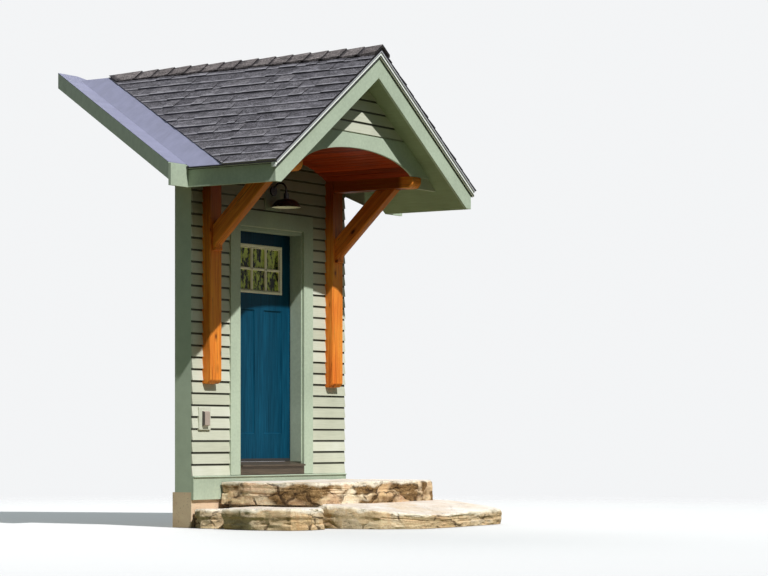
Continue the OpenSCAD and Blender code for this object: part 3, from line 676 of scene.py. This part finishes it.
end = np.arccos(half_span / VAULT_HALF)
t = np.linspace(end, np.pi - end, 4000)
run = np.concatenate([[0], np.cumsum(np.hypot(*np.diff(vault_line(t), axis=0).T))])
cuts = np.interp(np.linspace(0, run[-1], VAULT_BOARDS + 1), run, t)
left = cuts[:-1]
right = cuts[1:]
edge = 0.045 * (right - left)
corners = ((left, GROOVE), (left + edge, 0), (right - edge, 0),
           (right, GROOVE), (right, BACK), (left, BACK))
outline = np.stack([vault_line(at, lift) for at, lift in corners], 1)
outline[..., 0] = np.clip(outline[..., 0], -half_span, half_span)
mouth = np.insert(outline, 1, vault_low.y, axis=-1)
wall_end = np.insert(outline, 1, -0.001, axis=-1)
add_piece("vault_boards", bars(mouth, wall_end), vault_finish, "vault_boards",
          replaces=["vault_ceiling"], shade=np.repeat(rng.uniform(0, 1, VAULT_BOARDS), 12))

# %% [markdown]
# ## Shingles
# Laminated shingles lie in level courses. Thick tabs are glued at random on a thinner
# strip, so each course has a broken line of shadow. A tab is a thin wedge on the slope:
# u is its distance down the slope and y its place along the course. The last tab of a
# course is cut on the skew, along the valley.

# %% Shingle finish
def shingles(name, darkest, middle, palest, edge):
    """Granules over a tone picked by each tab's shade, dark where the course above shades it.

    The butt of a tab carries a painted highlight in places, and its cut end at the rake is
    dark: the asphalt's own black edge, with painted shade on it.
    """
    finish = Finish(name, paint(*middle), 0.92, Specular_IOR_Level=0.15)
    lower = finish.attribute("down")
    granule = finish.noise(420, 2, 0.7)
    mottle = finish.noise(75, 3, 0.75)
    weather = finish.noise(2.4, 3, 0.6)
    streaks = finish.noise((26, 9, 26), 4, 0.7)
    stops = [(0.0, paint(*darkest)), (0.5, finish.colour), (1.0, paint(*palest))]
    tone = finish.node("ValToRGB", {"stops": stops}, {0: finish.attribute("shade")})
    tone = finish.tint(tone, (weather, 0.12), (streaks, 0.7), (mottle, 1.3), (granule, 0.6))
    shadow_band = 1 - finish.between(lower + (streaks - 0.5) * 0.3, 0.14, 0.30)
    # Painted highlight along the butt of each tab.
    painted_butt_highlight = finish.between(lower + (streaks - 0.5) * 0.6, 0.82, 0.92)
    # The cut ends at the rake: the asphalt's dark edge, with painted shade on it.
    cut_end = finish.between(finish.axis("Y", "Normal") * -1, 0.7, 0.9)
    tone = finish.coat(tone, (shadow_band * 0.75, (32, 30, 36)), (painted_butt_highlight * 0.6, edge),
                       (cut_end * 0.9, (24, 22, 24)))
    finish.set("Base Color", tone)
    finish.bump(granule * 0.4 + mottle * 0.6, 0.002)
    return finish


# The last colour of each is the painted highlight along the tab butts.
shingle = shingles("shingle", (72, 69, 74), (85, 82, 87), (103, 99, 103), (154, 150, 156))
cap_shingle = shingles("cap_shingle", (84, 77, 77), (101, 93, 92), (118, 110, 109), (164, 157, 158))
print("granules ready")

# %% Roof slope
RUN = np.hypot(1, FALL)
RIDGE_Z = 4.1
RIDGE_END = 2.2043
EAVE_END = -0.23
EAVE_X = 1.5
VALLEY_GAP = 0.3431
VALLEY_PER_METRE = (RIDGE_END - EAVE_END) / EAVE_X


def on_slope(side, u, y, lift):
    """A point u down the slope from the ridge, at y, raised by lift square to the roof."""
    x = u / RUN + lift * FALL / RUN
    z = RIDGE_Z - FALL * u / RUN + lift / RUN
    return np.stack([side * x, y, z], -1)


def valley_end(u):
    """Where the shingles stop short of the valley, as y at a distance down the slope."""
    return RIDGE_END - VALLEY_GAP - VALLEY_PER_METRE * u / RUN


print("the valley takes", round(VALLEY_PER_METRE, 3), "m of y for each metre of x")

# %% Shingle courses
SHINGLE_COURSES = 14
COURSE = 0.142
HEADLAP = 0.022
TAB_LENGTHS = (0.07, 0.23)
SHORTEST = 0.05
THICK_SHARE = 0.52
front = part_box("shingles_right")[0].y + 0.002
eave = 1.539 * RUN


def shingle_field(side, name, replaced, seed):
    """All courses of one slope: random cuts along y, the last one on the valley line.

    A row holds a tab's upper edge and butt down the slope, its front, its back at the
    upper edge and at the butt, its underside, its top at both, and its shade. The last
    row is the strip under all the tabs.
    """
    dice = np.random.default_rng(seed)
    rows = []
    for number in range(SHINGLE_COURSES):
        u1 = eave - number * COURSE
        u0 = max(u1 - COURSE - HEADLAP, 0.02)
        stop = valley_end(u1) - SHORTEST
        cuts = [front]
        while cuts[-1] < stop:
            cuts.append(cuts[-1] + dice.uniform(*TAB_LENGTHS))
        cuts = np.array(cuts[:-1] if cuts[-1] > stop + SHORTEST else cuts)
        count = len(cuts)
        ends = np.append(cuts[1:], 0.0)
        thick = dice.uniform(0, 1, count) < THICK_SHARE
        butt = u1 + dice.uniform(-0.002, 0.002, count)
        tip = np.where(thick, 0.0205, 0.0135) + dice.uniform(-0.001, 0.001, count)
        shade = np.clip(np.where(thick, 0.58, 0.40) + dice.normal(0, 0.16, count), 0, 1)
        row = np.stack(np.broadcast_arrays(u0, butt, cuts, ends, ends, 0.005, 0.0075, tip, shade), 1)
        row[-1, 3:5] = valley_end(u0), valley_end(u1)
        rows.append(row)
    foot = eave - 0.004
    rows.append([[0.0, foot, front, valley_end(0.0), valley_end(foot), 0.0, 0.007, 0.007, 0.1]])
    u0, u1, cut, back0, back1, under, top0, top1, shade = np.concatenate(rows).T
    u = np.stack([u0, u1, u1, u0], 1)
    lift = np.stack([under, under, top1, top0], 1)
    near = on_slope(side, u, np.stack([cut] * 4, 1), lift)
    far = on_slope(side, u, np.stack([back0, back1, back1, back0], 1), lift)
    add_piece(name, bars(near, far), shingle, "shingles", replaces=[replaced],
              shade=np.repeat(shade, 8), down=np.tile([0, 1, 1, 0], 2 * len(u)))


shingle_field(-1, "shingle_courses_left", "shingles_left", 21)
shingle_field(1, "shingle_courses_right", "shingles_right", 22)

# %% [markdown]
# ## Ridge caps
# The ridge is closed by single tabs folded over it, each lapped by the next. Every cap is
# a bar along y with a six-cornered outline: a shallow V under an equal V, a little higher
# at its front end than at its back. The last is cut to the two valleys.

# %% Ridge caps
CAP_STEP = 0.19
CAP_OVERLAP = 0.035
cap_low, cap_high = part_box("ridge_cap")
starts = np.arange(cap_low.y + 0.001, 1.60, CAP_STEP)
dice = np.random.default_rng(31)
ends = starts + CAP_STEP + CAP_OVERLAP
wing_ends = np.minimum(ends, valley_end(cap_high.x * RUN))
ends[-1] = valley_end(0.0)


def cap_outline(y_mid, y_wing, under, over):
    """Corners of the folded cap at one end, left wing to right wing and back over the top."""
    across = np.array([-1, 0, 1, 1, 0, -1])
    y = np.where(across == 0, y_mid[:, None], y_wing[:, None])
    lift = np.where(np.arange(6) < 3, under, over[:, None])
    z = RIDGE_Z - FALL * cap_high.x * np.abs(across) + lift
    return np.stack([np.broadcast_to(across * cap_high.x, y.shape), y, z], -1)


front_top = np.linspace(0.047, 0.038, len(starts)) + dice.uniform(-0.0015, 0.0015, len(starts))
caps = bars(cap_outline(starts, starts, 0.0235, front_top),
            cap_outline(ends, wing_ends, 0.0215, front_top - 0.013))
shade = np.repeat(np.clip(dice.normal(0.62, 0.16, len(starts)), 0, 1), 12)
# The front end of each cap takes the painted highlight, and the part just under the next cap the
# painted shadow band.
down = np.tile([0.82] * 6 + [0] * 6, len(starts))
add_piece("ridge_caps", caps, cap_shingle, "shingles", replaces=["ridge_cap"], shade=shade, down=down)

# %% [markdown]
# ## Valley metal and drip edges
# Painted sheet metal lines both valleys and edges the roof. It is smooth, a little dull
# and faintly streaked where water runs, so the roughness carries most of the pattern.
# Thin dark strips under the trims are painted shadow.

# %% Metal finishes
def even_metal(name, colour, scale, span, least, detail=3, rough=0.6, **constants):
    """An even colour whose roughness is noise times span, plus least."""
    finish = Finish(name, paint(*colour), **constants)
    finish.set("Roughness", finish.noise(scale, detail, rough) * span + least)
    return finish


flashing = Finish("flashing", paint(128, 128, 150), Specular_IOR_Level=0.06)
run_off = flashing.noise((2.5, 9, 9), 4, 0.6)
flashing.set("Base Color", flashing.tint(flashing.colour, (run_off, 0.14)))
flashing.set("Roughness", run_off * 0.25 + 0.5)
flashing.bump(flashing.noise(1.5, 1, 0.4), 0.004)
dress(flashing, "flashing", "valley_flashing_left", "valley_flashing_right")
drip_metal_and_painted_shadow = even_metal("drip_metal_and_painted_shadow", (34, 32, 34), 30, 0.3, 0.35, Metallic=0.3)
pale_metal = even_metal("pale_metal", (168, 168, 174), 30, 0.3, 0.3)
print("valleys dressed")

# %% Drip edges
SIDES = np.array([[-1.0], [1.0]])
TRIM_OUT = 1.525
TRIM_Y = -1.175
RAKE_Y = -1.155
MAIN_EAVE_Y = -0.232
EAVE_TRIM = 0.02225
RAKE_TRIM = 0.055


def edge_end(x, y, z):
    """Four corners at one end of a thin strip, on both sides of the porch at once."""
    x, y, z = np.broadcast_arrays(x, y, z)
    return np.stack([SIDES * x, np.tile(y, (2, 1)), np.tile(z, (2, 1))], -1)


def eave_strip(x, z0, z1, proud):
    """An upright strip along the eaves that stands proud of the plane at x."""
    across = x + np.array([-0.001, proud, proud, -0.001])
    up = np.array([z0, z0, z1, z1])
    return bars(edge_end(across, TRIM_Y - 0.003, up), edge_end(across, MAIN_EAVE_Y, up))


def rake_strip(y, drop, height, proud):
    """A strip down both rakes, its top at drop under the deck's edge."""
    forth = y - np.array([-0.001, proud, proud, -0.001])
    down = drop + height * np.array([1, 1, 0, 0])
    return bars(*[edge_end(x, forth, RIDGE_Z - FALL * x - down) for x in (0.0, TRIM_OUT)])


edge_z = RIDGE_Z - FALL * (TRIM_OUT + 0.004)
eave_shadow_strip_z = RIDGE_Z - FALL * TRIM_OUT - EAVE_TRIM
# The eave drip edges are dark metal and the rake drip edges pale metal; the other three strips are
# painted shadow, under the eave trim, on the foot of the rake trim and on the rake board below it.
for name, strip, finish in (
        ("eave_drip_edges", eave_strip(TRIM_OUT, edge_z - 0.016, edge_z + 0.003, 0.006), drip_metal_and_painted_shadow),
        ("eave_painted_shadow_strip", eave_strip(TRIM_OUT - 0.020, eave_shadow_strip_z - 0.006, eave_shadow_strip_z, 0.003), drip_metal_and_painted_shadow),
        ("rake_drip_edges", rake_strip(TRIM_Y, -0.003, 0.020, 0.009), pale_metal),
        ("rake_trim_painted_shadow_strip", rake_strip(TRIM_Y, 0.044, 0.012, 0.002), drip_metal_and_painted_shadow),
        ("rake_board_painted_shadow_strip", rake_strip(RAKE_Y, RAKE_TRIM - 0.002, 0.013, 0.003), drip_metal_and_painted_shadow)):
    add_piece(name, strip, finish, "flashing")

# %% [markdown]
# ## Door
# The leaf is a blue-green slab with a glazed light over two tall sunk panels. The solids
# have the recesses, and the scene adds the small moulding that turns the corner into each
# panel. It is a profile carried round a rectangle: each point of the profile says how far
# in from the edge it lies and how far forward, and becomes a ring of four corners.

# %% Door finishes
door_paint = Finish("door_paint", paint(10, 60, 82), Specular_IOR_Level=0.04)
brush = door_paint.noise((110, 110, 2.6), 4, 0.62)
shown = door_paint.mix(door_paint.between(brush, 0.3, 0.7), paint(4, 48, 68), paint(16, 74, 98))
# Painted shade: the top of the door, under the head of the doorway, is darkened.
shown = door_paint.coat(shown, (door_paint.roof_shade_mask(2.2, 2.6, 0.0, 0.16) * 0.6, (2, 8, 12)))
shown = door_paint.tint(shown, (door_paint.noise((9, 9, 0.9), 3, 0.5), 0.25))
door_paint.set("Base Color", shown)
door_paint.set("Roughness", brush * 0.3 + 0.25)
door_paint.bump(brush, 0.0008)
lite_paint = board_paint("lite_paint", paint(244, 236, 208), (60, 60, 20), roughness=0.45)
rubber = Finish("sweep_rubber", paint(34, 33, 32), 0.7)
rubber.bump(rubber.noise(90, 2, 0.5), 0.0005)
# The pane is painted dark for the shaded room behind it, and its pale green blotches are a painted
# reflection of foliage.
pane = Finish("pane", paint(34, 34, 22), 0.06, Specular_IOR_Level=0.06)
reflection = pane.between(pane.noise((20, 20, 11), 6, 0.75), 0.44, 0.56)
pane.set("Base Color", pane.coat(pane.colour, (reflection, (196, 208, 100))))
print("door paint, window paint, rubber and glass ready")

# %% Door metals
bronze = Finish("bronze", paint(36, 31, 28), Metallic=0.65)
rubbed = bronze.noise(26, 4, 0.6)
bright = bronze.between(rubbed, 0.52, 0.75)
bronze.set("Base Color", bronze.coat(bronze.colour, (bright, (78, 62, 48))))
bronze.set("Roughness", rubbed * 0.3 + 0.26)
sill_metal = Finish("sill_metal", paint(84, 72, 58), Metallic=0.4)
scuff = sill_metal.noise((7, 60, 60), 4, 0.65)
sill_metal.set("Base Color", sill_metal.tint(sill_metal.colour, (scuff, 0.4)))
sill_metal.set("Roughness", scuff * 0.4 + 0.25)
hinge_steel = even_metal("hinge_steel", (176, 174, 168), 80, 0.25, 0.25, 2, 0.5, Metallic=0.9)
print("bronze, worn sill and hinge steel ready")

# %% Panel mouldings
PANEL_FOOT = 0.800
PANEL_HEAD = 1.900
PANEL_DEPTH = 0.010
SIDE_STILE = 0.124
HALF_STILE = 0.070
COVE = 0.016
leaf_low, leaf_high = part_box("door_leaf")
panel_edge = leaf_high.x - SIDE_STILE
FACES = ((leaf_low.y, 1), (leaf_high.y, -1))


def frame_moulding(low, high, profile):
    """A closed moulding round a rectangle whose corners are low and high, each (x, z).

    profile is an array of (inset, y): a ring's corners lie inset inside the rectangle at
    depth y, and the last ring joins the first.
    """
    inset, y = profile.T
    left, right = low[0] + inset, high[0] - inset
    foot, head = low[1] + inset, high[1] - inset
    points = np.stack([np.stack([left, right, right, left], 1), np.repeat(y[:, None], 4, 1),
                       np.stack([foot, foot, head, head], 1)], -1)
    return outward(points.reshape(-1, 3), ring_faces(len(profile), 4))


def cove(y_face, y_floor):
    """A quarter-round profile from the face of the leaf down to the floor of a panel."""
    turn = np.linspace(0, np.pi / 2, 7)
    inset = COVE * (1 - np.cos(turn))
    y = y_floor + (y_face - y_floor) * (1 - np.sin(turn))
    return np.concatenate([np.stack([inset, y], 1), [[0.0, y_floor]]])


parts = []
for x0, x1 in ((-panel_edge, -HALF_STILE), (HALF_STILE, panel_edge)):
    for face, inward in FACES:
        profile = cove(face, face + inward * PANEL_DEPTH)
        parts.append(frame_moulding((x0, PANEL_FOOT), (x1, PANEL_HEAD), profile))
add_piece("panel_mouldings", joined(parts), door_paint, "door_paint", body="door", smooth=35)

# %% Window frame and bars
lite_low, lite_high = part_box("door_lite_frame")
glass_low, glass_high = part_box("door_glass")
END_GAP = 0.002
CHAMFER = 0.005
UPRIGHT = 0.013
CROSS = 0.011
left, right = glass_low.x + END_GAP, glass_high.x - END_GAP
foot, head = glass_low.z + END_GAP, glass_high.z - END_GAP
half_pane = (glass_high.x - glass_low.x) / 6
middle = (glass_low.z + glass_high.z) / 2


def glazing_bar(start, end, across, half, glass, front, shoulder):
    """A bar between two points (x, z) of the pane, with a chamfer along its two arrises.

    Six corners: half to each side at the glass and at the shoulder, and less at the front.
    """
    offset = np.array([-half, -half, CHAMFER - half, half - CHAMFER, half, half])
    outline = np.outer(offset, across)
    outline[:, 1] = [glass, shoulder, front, front, shoulder, glass]
    return bars(*[(outline + [x, 0, z])[None] for x, z in (start, end)])


parts = []
for (face, inward), front, glass in zip(FACES, (lite_low.y, lite_high.y), (glass_low.y, glass_high.y)):
    step = inward * 0.001
    profile = np.array([[0.0, face], [0.0, front + step * 3], [0.003, front], [0.016, front],
                        [0.024, front + step * 3], [0.030, face + step * 4],
                        [0.034, glass], [0.028, glass], [0.028, face]])
    parts.append(frame_moulding((lite_low.x, lite_low.z), (lite_high.x, lite_high.z), profile))
    depths = (glass, front + step * 4, front + step * 9)
    for x in (-half_pane, half_pane):
        parts.append(glazing_bar((x, foot), (x, head), (1, 0, 0), UPRIGHT, *depths))
    parts.append(glazing_bar((left, middle), (right, middle), (0, 0, 1), CROSS, *depths))
add_piece("door_light_bars", joined(parts), lite_paint, "lite_frame", body="door",
          replaces=["door_lite_frame"])

# %% Leaf, sweep and metals
dress(door_paint, "door_paint", "door_leaf")
section = np.array([[0, -0.005, 0.553], [0, 0.004, 0.553], [0, 0.001, 0.580], [0, -0.003, 0.580]])
sweep = bars(*[(section + [x, leaf_low.y, 0])[None] for x in (leaf_low.x + 0.006, leaf_high.x - 0.006)])
add_piece("door_sweep", sweep, rubber, "threshold", body="door")
dress(pane, "glass", "door_glass")
eased("door_handles", bronze, 0, body="door")
eased("door_hinges", hinge_steel, 0, body="door")
eased("jamb_hinges", hinge_steel, 0)
dress(sill_metal, "threshold", "threshold")
print("door dressed")

# %% [markdown]
# ## Lamp and outlet
# A spun metal shade hangs from a gooseneck. It is a surface of revolution: the profile
# gives a radius and a height, and the turn carries it round. The inside is enamelled
# cream, so it is a second, thinner shell. The outlet block beside the door is painted as
# the siding is, and one material tells its grey cover from the block by how far out it is.

# %% Lamp
def revolved(profile, centre, count=96):
    """A closed profile of (radius, z) turned round an upright axis through centre."""
    turn = np.linspace(0, 2 * np.pi, count, endpoint=False)
    x = centre[0] + profile[:, :1] * np.cos(turn)
    y = centre[1] + profile[:, :1] * np.sin(turn)
    points = np.stack([x, y, np.repeat(profile[:, 1:], count, 1)], -1).reshape(-1, 3)
    return outward(points, ring_faces(len(profile), count))


NECK = 0.030
METAL = 0.0022
shade_low, shade_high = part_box("lamp_shade")
axis = ((shade_low.x + shade_high.x) / 2, (shade_low.y + shade_high.y) / 2)
rim = shade_high.x - axis[0]
s = np.linspace(0, 1, 24)
bell_r = NECK + (rim - NECK - 0.004) * s ** 0.8
bell_z = shade_high.z - 0.001 - (shade_high.z - shade_low.z - 0.006) * (0.35 * s + 0.65 * s ** 3)
outer = np.stack([bell_r, bell_z], 1)
bead = [[rim - 0.001, shade_low.z + 0.004], [rim, shade_low.z + 0.002], [rim - 0.002, shade_low.z]]
inner = outer[::-1] - METAL
add_piece("lamp_shade_bell", revolved(np.concatenate([outer, bead, inner]), axis), bronze,
          "lamp_metal", replaces=["lamp_shade"], smooth=50)
cream = Finish("cream_enamel", paint(250, 244, 222), 0.3)
cream.set("Base Color", cream.tint(cream.colour, (cream.noise(14, 3, 0.5), 0.08)))
lining = np.concatenate([inner - [0.0003, 0.0003], inner[::-1] - [0.0016, 0.0013]])
add_piece("lamp_shade_lining", revolved(lining, axis), cream, "lamp_metal", smooth=50)
eased("lamp_arm", bronze, 0)
bulb_glass = even_metal("bulb_glass", (244, 240, 226), 40, 0.2, 0.15, 2, 0.5)
eased("lamp_bulb", bulb_glass, 0)

# %% Outlet block
outlet = Finish("outlet_paint", sage, 0.5)
cover = 1 - outlet.between(outlet.axis("Y"), -0.0285, -0.0265)
# Painted shade: the sides of the cover are darker than its face.
cover_side_shade = outlet.between(abs(outlet.axis("X", "Normal")), 0.35, 0.6)
speck = outlet.noise(40, 3, 0.5)
lid = outlet.mix(cover_side_shade, paint(166, 150, 138), paint(74, 68, 62))
outlet.set("Base Color", outlet.tint(outlet.mix(cover, sage, lid), (speck, 0.1)))
outlet.bump(speck, 0.0004)
eased("outlet_block", outlet, 0.003)
print("outlet ready")

# %% [markdown]
# ## Stones
# The landing is one thick slab of split stone on a broad, thinner one, with low flat
# stones beside them. Such stone breaks into flat facets with sharp creases, opens along
# its beds in places, and keeps a pale, worn edge round its top. Each stone is a stack of
# rings drawn round its outline. On the sides a ring is pushed in by random values that are
# joined by straight lines, which is what leaves facets; on top the rings close towards the
# middle over a slightly uneven surface.

# %% Stone: tops
stone = Finish("stone", paint(214, 196, 168), 0.9, Specular_IOR_Level=0.2)
rise = stone.attribute("rise")
cloud = stone.noise((3.2, 3.2, 5), 6, 0.62)
grit = stone.noise((70, 70, 90), 5, 0.7)
ochre = stone.between(stone.noise((2.3, 2.3, 3.0), 3, 0.55), 0.54, 0.66) * 0.35
worn = stone.between(grit, 0.60, 0.72) * 0.5
flat_top = stone.between(stone.axis("Z", "Normal"), 0.5, 0.85) * stone.between(rise, 0.93, 0.98)
top_tone = stone.tint(paint(224, 211, 198), (cloud, 0.45))
top_tone = stone.coat(top_tone, (ochre, (206, 172, 122)), (worn, (170, 150, 124)))
print("tops: pale, with ochre stains and worn grit")

# %% Stone: smooth blocks
BLOCKS = (3.6, 3.6, 9.0)
BEND = (0.14, 0.14, 0.14)
strata = stone.noise((4, 4, 30), 6, 0.7)
streak = stone.between(stone.noise((12, 12, 2.5), 3, 0.6), 0.58, 0.68)
high = stone.between(stone.axis("Z"), 0.17, 0.21)
wander = stone.node("TexNoise", {}, {"Vector": stone.place, "Scale": 5.0, "Detail": 4.0}, "Color")
bent = stone.node("VectorMath", {"operation": "MULTIPLY_ADD"}, {0: wander, 1: BEND, 2: stone.place})
block = stone.node("SeparateColor", {}, {0: stone.cells(BLOCKS, bent, output="Color")})
smooth_tone = stone.mix(block, paint(206, 176, 138), paint(240, 224, 194))
smooth_tone = stone.tint(smooth_tone, (strata, 0.35), (cloud, 0.25))
smooth_tone = stone.coat(smooth_tone, (ochre, (214, 166, 104)), (streak * 0.35, (190, 126, 70)),
                         ((1 - high) * 0.45, (204, 172, 126)))
print("sides: blocks of", BLOCKS, "to the metre")

# %% Stone: broken faces, cracks and crust
stops = [(0.34, paint(62, 42, 22)), (0.47, paint(112, 84, 50)), (0.60, paint(164, 132, 90)),
         (0.72, paint(212, 186, 144))]
layers = strata * 0.4 + grit * 0.35 + cloud * 0.25
rough_tone = stone.node("ValToRGB", {"stops": stops}, {0: layers})
broken = stone.between(stone.noise((1.7, 1.7, 2.6), 3, 0.6) + block * 0.16, 0.53, 0.61)
broken = broken * (high * 0.75 + 0.25)
joint = 1 - stone.between(stone.cells(BLOCKS, bent, "DISTANCE_TO_EDGE"), 0.015, 0.07)
crack = stone.between(stone.noise((2.6, 2.6, 6), 3, 0.6), 0.44, 0.58) * joint
pocket = 1 - stone.between(stone.noise((9, 9, 30), 5, 0.7), 0.38, 0.46)
crust = stone.between(rise + (cloud - 0.5) * 0.9, 0.80, 0.94)
side_tone = stone.mix(broken, smooth_tone, rough_tone)
# Cracks and pockets are darkened as painted shade in the hollows.
side_tone = stone.coat(side_tone, (crack * 0.85, (66, 46, 28)), (pocket * broken * 0.75, (58, 40, 20)),
                       (crust * 0.85, (238, 226, 204)))
stone.set("Base Color", stone.tint(stone.mix(flat_top, side_tone, top_tone), (grit, 0.30)))
stone.bump(grit * 0.35 + strata * 0.3 - crack * 0.5 - pocket * 0.4, 0.012)
print("stone finish ready")

# %% Stone: random lines and outlines
def waves(dice, places, lowest, highest, slope):
    """A periodic random line: a sum of cosines whose size falls with their frequency."""
    k = np.arange(lowest, highest)
    phase = dice.uniform(0, 2 * np.pi, len(k))
    line = (k ** -slope * np.cos(2 * np.pi * places[:, None] * k + phase)).sum(1)
    return line / np.abs(line).max()


def facets(dice, rows, columns, places, up):
    """Random values joined by straight lines, along each row round the stone and from row to row."""
    lines = np.array([np.interp(places, np.sort(dice.uniform(0, 1, columns)),
                                dice.uniform(-1, 1, columns), period=1.0) for _ in range(rows)])
    at = np.clip(up, 0, 1) * (rows - 1)
    low = np.minimum(at.astype(int), rows - 2)
    column = np.arange(len(places))
    return lines[low, column] * (1 - at + low) + lines[low + 1, column] * (at - low)


def even_outline(corners, count, rounding=0.02):
    """Points spaced evenly round a polygon, the way in from each, and the distance round.

    Corners are eased by averaging neighbours. The polygon runs anticlockwise, seen from
    above, so the way in is a quarter turn left of the line between a point's neighbours.
    """
    loop = np.vstack([corners, corners[:1]])
    run = np.concatenate([[0], np.cumsum(np.hypot(*np.diff(loop, axis=0).T))])
    at = np.linspace(0, run[-1], count, endpoint=False)
    ring = np.stack([np.interp(at, run, loop[:, i]) for i in (0, 1)], 1)
    window = max(1, int(rounding / run[-1] * count))
    kernel = np.hanning(2 * window + 3)[1:-1]
    near = np.arange(count)[:, None] + np.arange(-window, window + 1)
    ring = (ring[near % count] * (kernel / kernel.sum())[None, :, None]).sum(1)
    tangent = np.roll(ring, -4, 0) - np.roll(ring, 4, 0)
    inward = np.stack([-tangent[:, 1], tangent[:, 0]], 1)
    return ring, inward / np.linalg.norm(inward, axis=1)[:, None], run[-1]


print("facets, waves and outlines ready")

# %% Stone: rings into a closed shape
SIDE_RINGS = np.concatenate([[0, 0.03], np.linspace(0.08, 0.88, 19), [0.92, 0.95, 0.975, 1.0]])
TOP_RINGS = np.array([0.015, 0.04, 0.08, 0.14, 0.22, 0.32, 0.44, 0.56, 0.68, 0.8, 0.91, 0.985])
SHARE = np.concatenate([[0, 0, 0], SIDE_RINGS, 0 * TOP_RINGS + 1])
DRAW = np.concatenate([[0.97, 0.6, 0.25], 0 * SIDE_RINGS, TOP_RINGS])
COARSE_FACET = 0.24
FINE_FACET = 0.06


def split_stone(corners, z0, z1, seed, fall=None, count=620, rough=0.03, undercut=0.0, beds=3):
    """Rings round a stone from its underside, up its faceted side and in over its top.

    A ring is pushed in by coarse and fine facets, by an undercut below, by beds that open
    here and there, and by the rounded upper edge, and then drawn towards the middle by its
    share in DRAW. Its height is SHARE of the stone's, plus a gentle swell on top.
    """
    dice = np.random.default_rng(seed)
    ring, inward, length = even_outline(np.array(corners) / 1000, count)
    places = np.arange(count) / count
    up = np.repeat(SHARE[:, None], count, 1)
    coarse = facets(dice, 4, int(length / COARSE_FACET), places, up)
    fine = facets(dice, 9, int(length / FINE_FACET), places, up)
    inset = rough * (0.5 + 0.32 * coarse + 0.18 * fine)
    for height in dice.uniform(0.25, 0.8, beds):
        line = height + 0.06 * waves(dice, places, 1, 7, 0.6)
        open_here = np.clip(2.5 * waves(dice, places, 2, 12, 0.3), 0, 1)
        inset += open_here * (0.012 * np.exp(-((up - line) / 0.035) ** 2) + 0.008 * (up > line))
    inset += undercut * np.clip((0.6 - up) / 0.1, 0, 1)
    inset += 0.014 * (1 + 0.6 * fine) * np.clip((up - 0.86) / 0.14, 0, 1) ** 2
    base = ring[None] + inward[None] * inset[:, :, None]
    flat = base + (ring.mean(0) - base) * DRAW[:, None, None]
    swell = np.zeros(up.shape)
    for _ in range(9):
        angle, pace, phase = dice.uniform(0, 2 * np.pi), dice.uniform(3, 26), dice.uniform(0, 6.3)
        along = flat[..., 0] * np.cos(angle) + flat[..., 1] * np.sin(angle)
        swell += np.cos(pace * along + phase) / pace
    swell *= 0.006 / np.abs(swell).max()
    top = np.full(up.shape, z1)
    if fall:
        top -= np.clip(-flat[..., 1] - fall[0], 0, None) * fall[1]
    z = z0 + (top - 0.005 - z0) * up + swell * up ** 2
    points = np.concatenate([flat, z[..., None]], -1)
    half = np.arange(count // 2 - 1)
    lid = np.stack([half, half + 1, count - 2 - half, count - 1 - half], 1)
    faces = np.concatenate([ring_faces(len(SHARE), count, closed=False), lid,
                            (lid + (len(SHARE) - 1) * count)[:, ::-1]])
    return outward(points.reshape(-1, 3), faces), up.ravel()


def stone_piece(name, replaced, *stones):
    """One or more split stones as a piece in place of a CAD node; its points carry their rise."""
    shapes, rises = zip(*[split_stone(**settings) for settings in stones])
    add_piece(name, joined(shapes), stone, "stone", replaces=[replaced], smooth=24,
              rise=np.concatenate(rises))


print(len(SHARE), "rings to a stone")

# %% Landing, step and edging
# Corners are in millimetres, and fall is where the step starts to slope and how steeply.
landing = [[-790, -25], [-805, -300], [-770, -700], [-710, -940], [-640, -1015], [160, -1050],
           [860, -1030], [1120, -1010], [1180, -900], [1165, -380], [1130, -25]]
step = [[-660, 0], [-690, -600], [-640, -1180], [-520, -1520], [-240, -1785], [160, -1800],
        [800, -1740], [1180, -1700], [1300, -1500], [1290, -900], [1210, -400], [1120, 0]]
edging = [[-1290, -420], [-1330, -760], [-1230, -1110], [-1040, -1200], [-800, -1170],
          [-652.5, -1035], [-690, -600], [-760, -440], [-1000, -360]]
corner = [[-1130, 0], [-1230, -150], [-1200, -270], [-1090, -330], [-840, -345], [-750, -250],
          [-740, 0]]
low_stone = dict(z0=0.0, undercut=0.012, beds=1)
stone_piece("landing_stone", "stone_landing",
            dict(corners=landing, z0=0.194, z1=0.389, seed=41, rough=0.034))
stone_piece("step_stone", "stone_step",
            dict(corners=step, z0=0.0, z1=0.205, seed=42, count=700, fall=(1.06, 0.095 / 0.84),
                 undercut=0.008, beds=2))
stone_piece("edging_stones", "stone_edging",
            dict(low_stone, corners=edging, z1=0.180, seed=43, count=360),
            dict(low_stone, corners=corner, z1=0.165, seed=44, count=280))
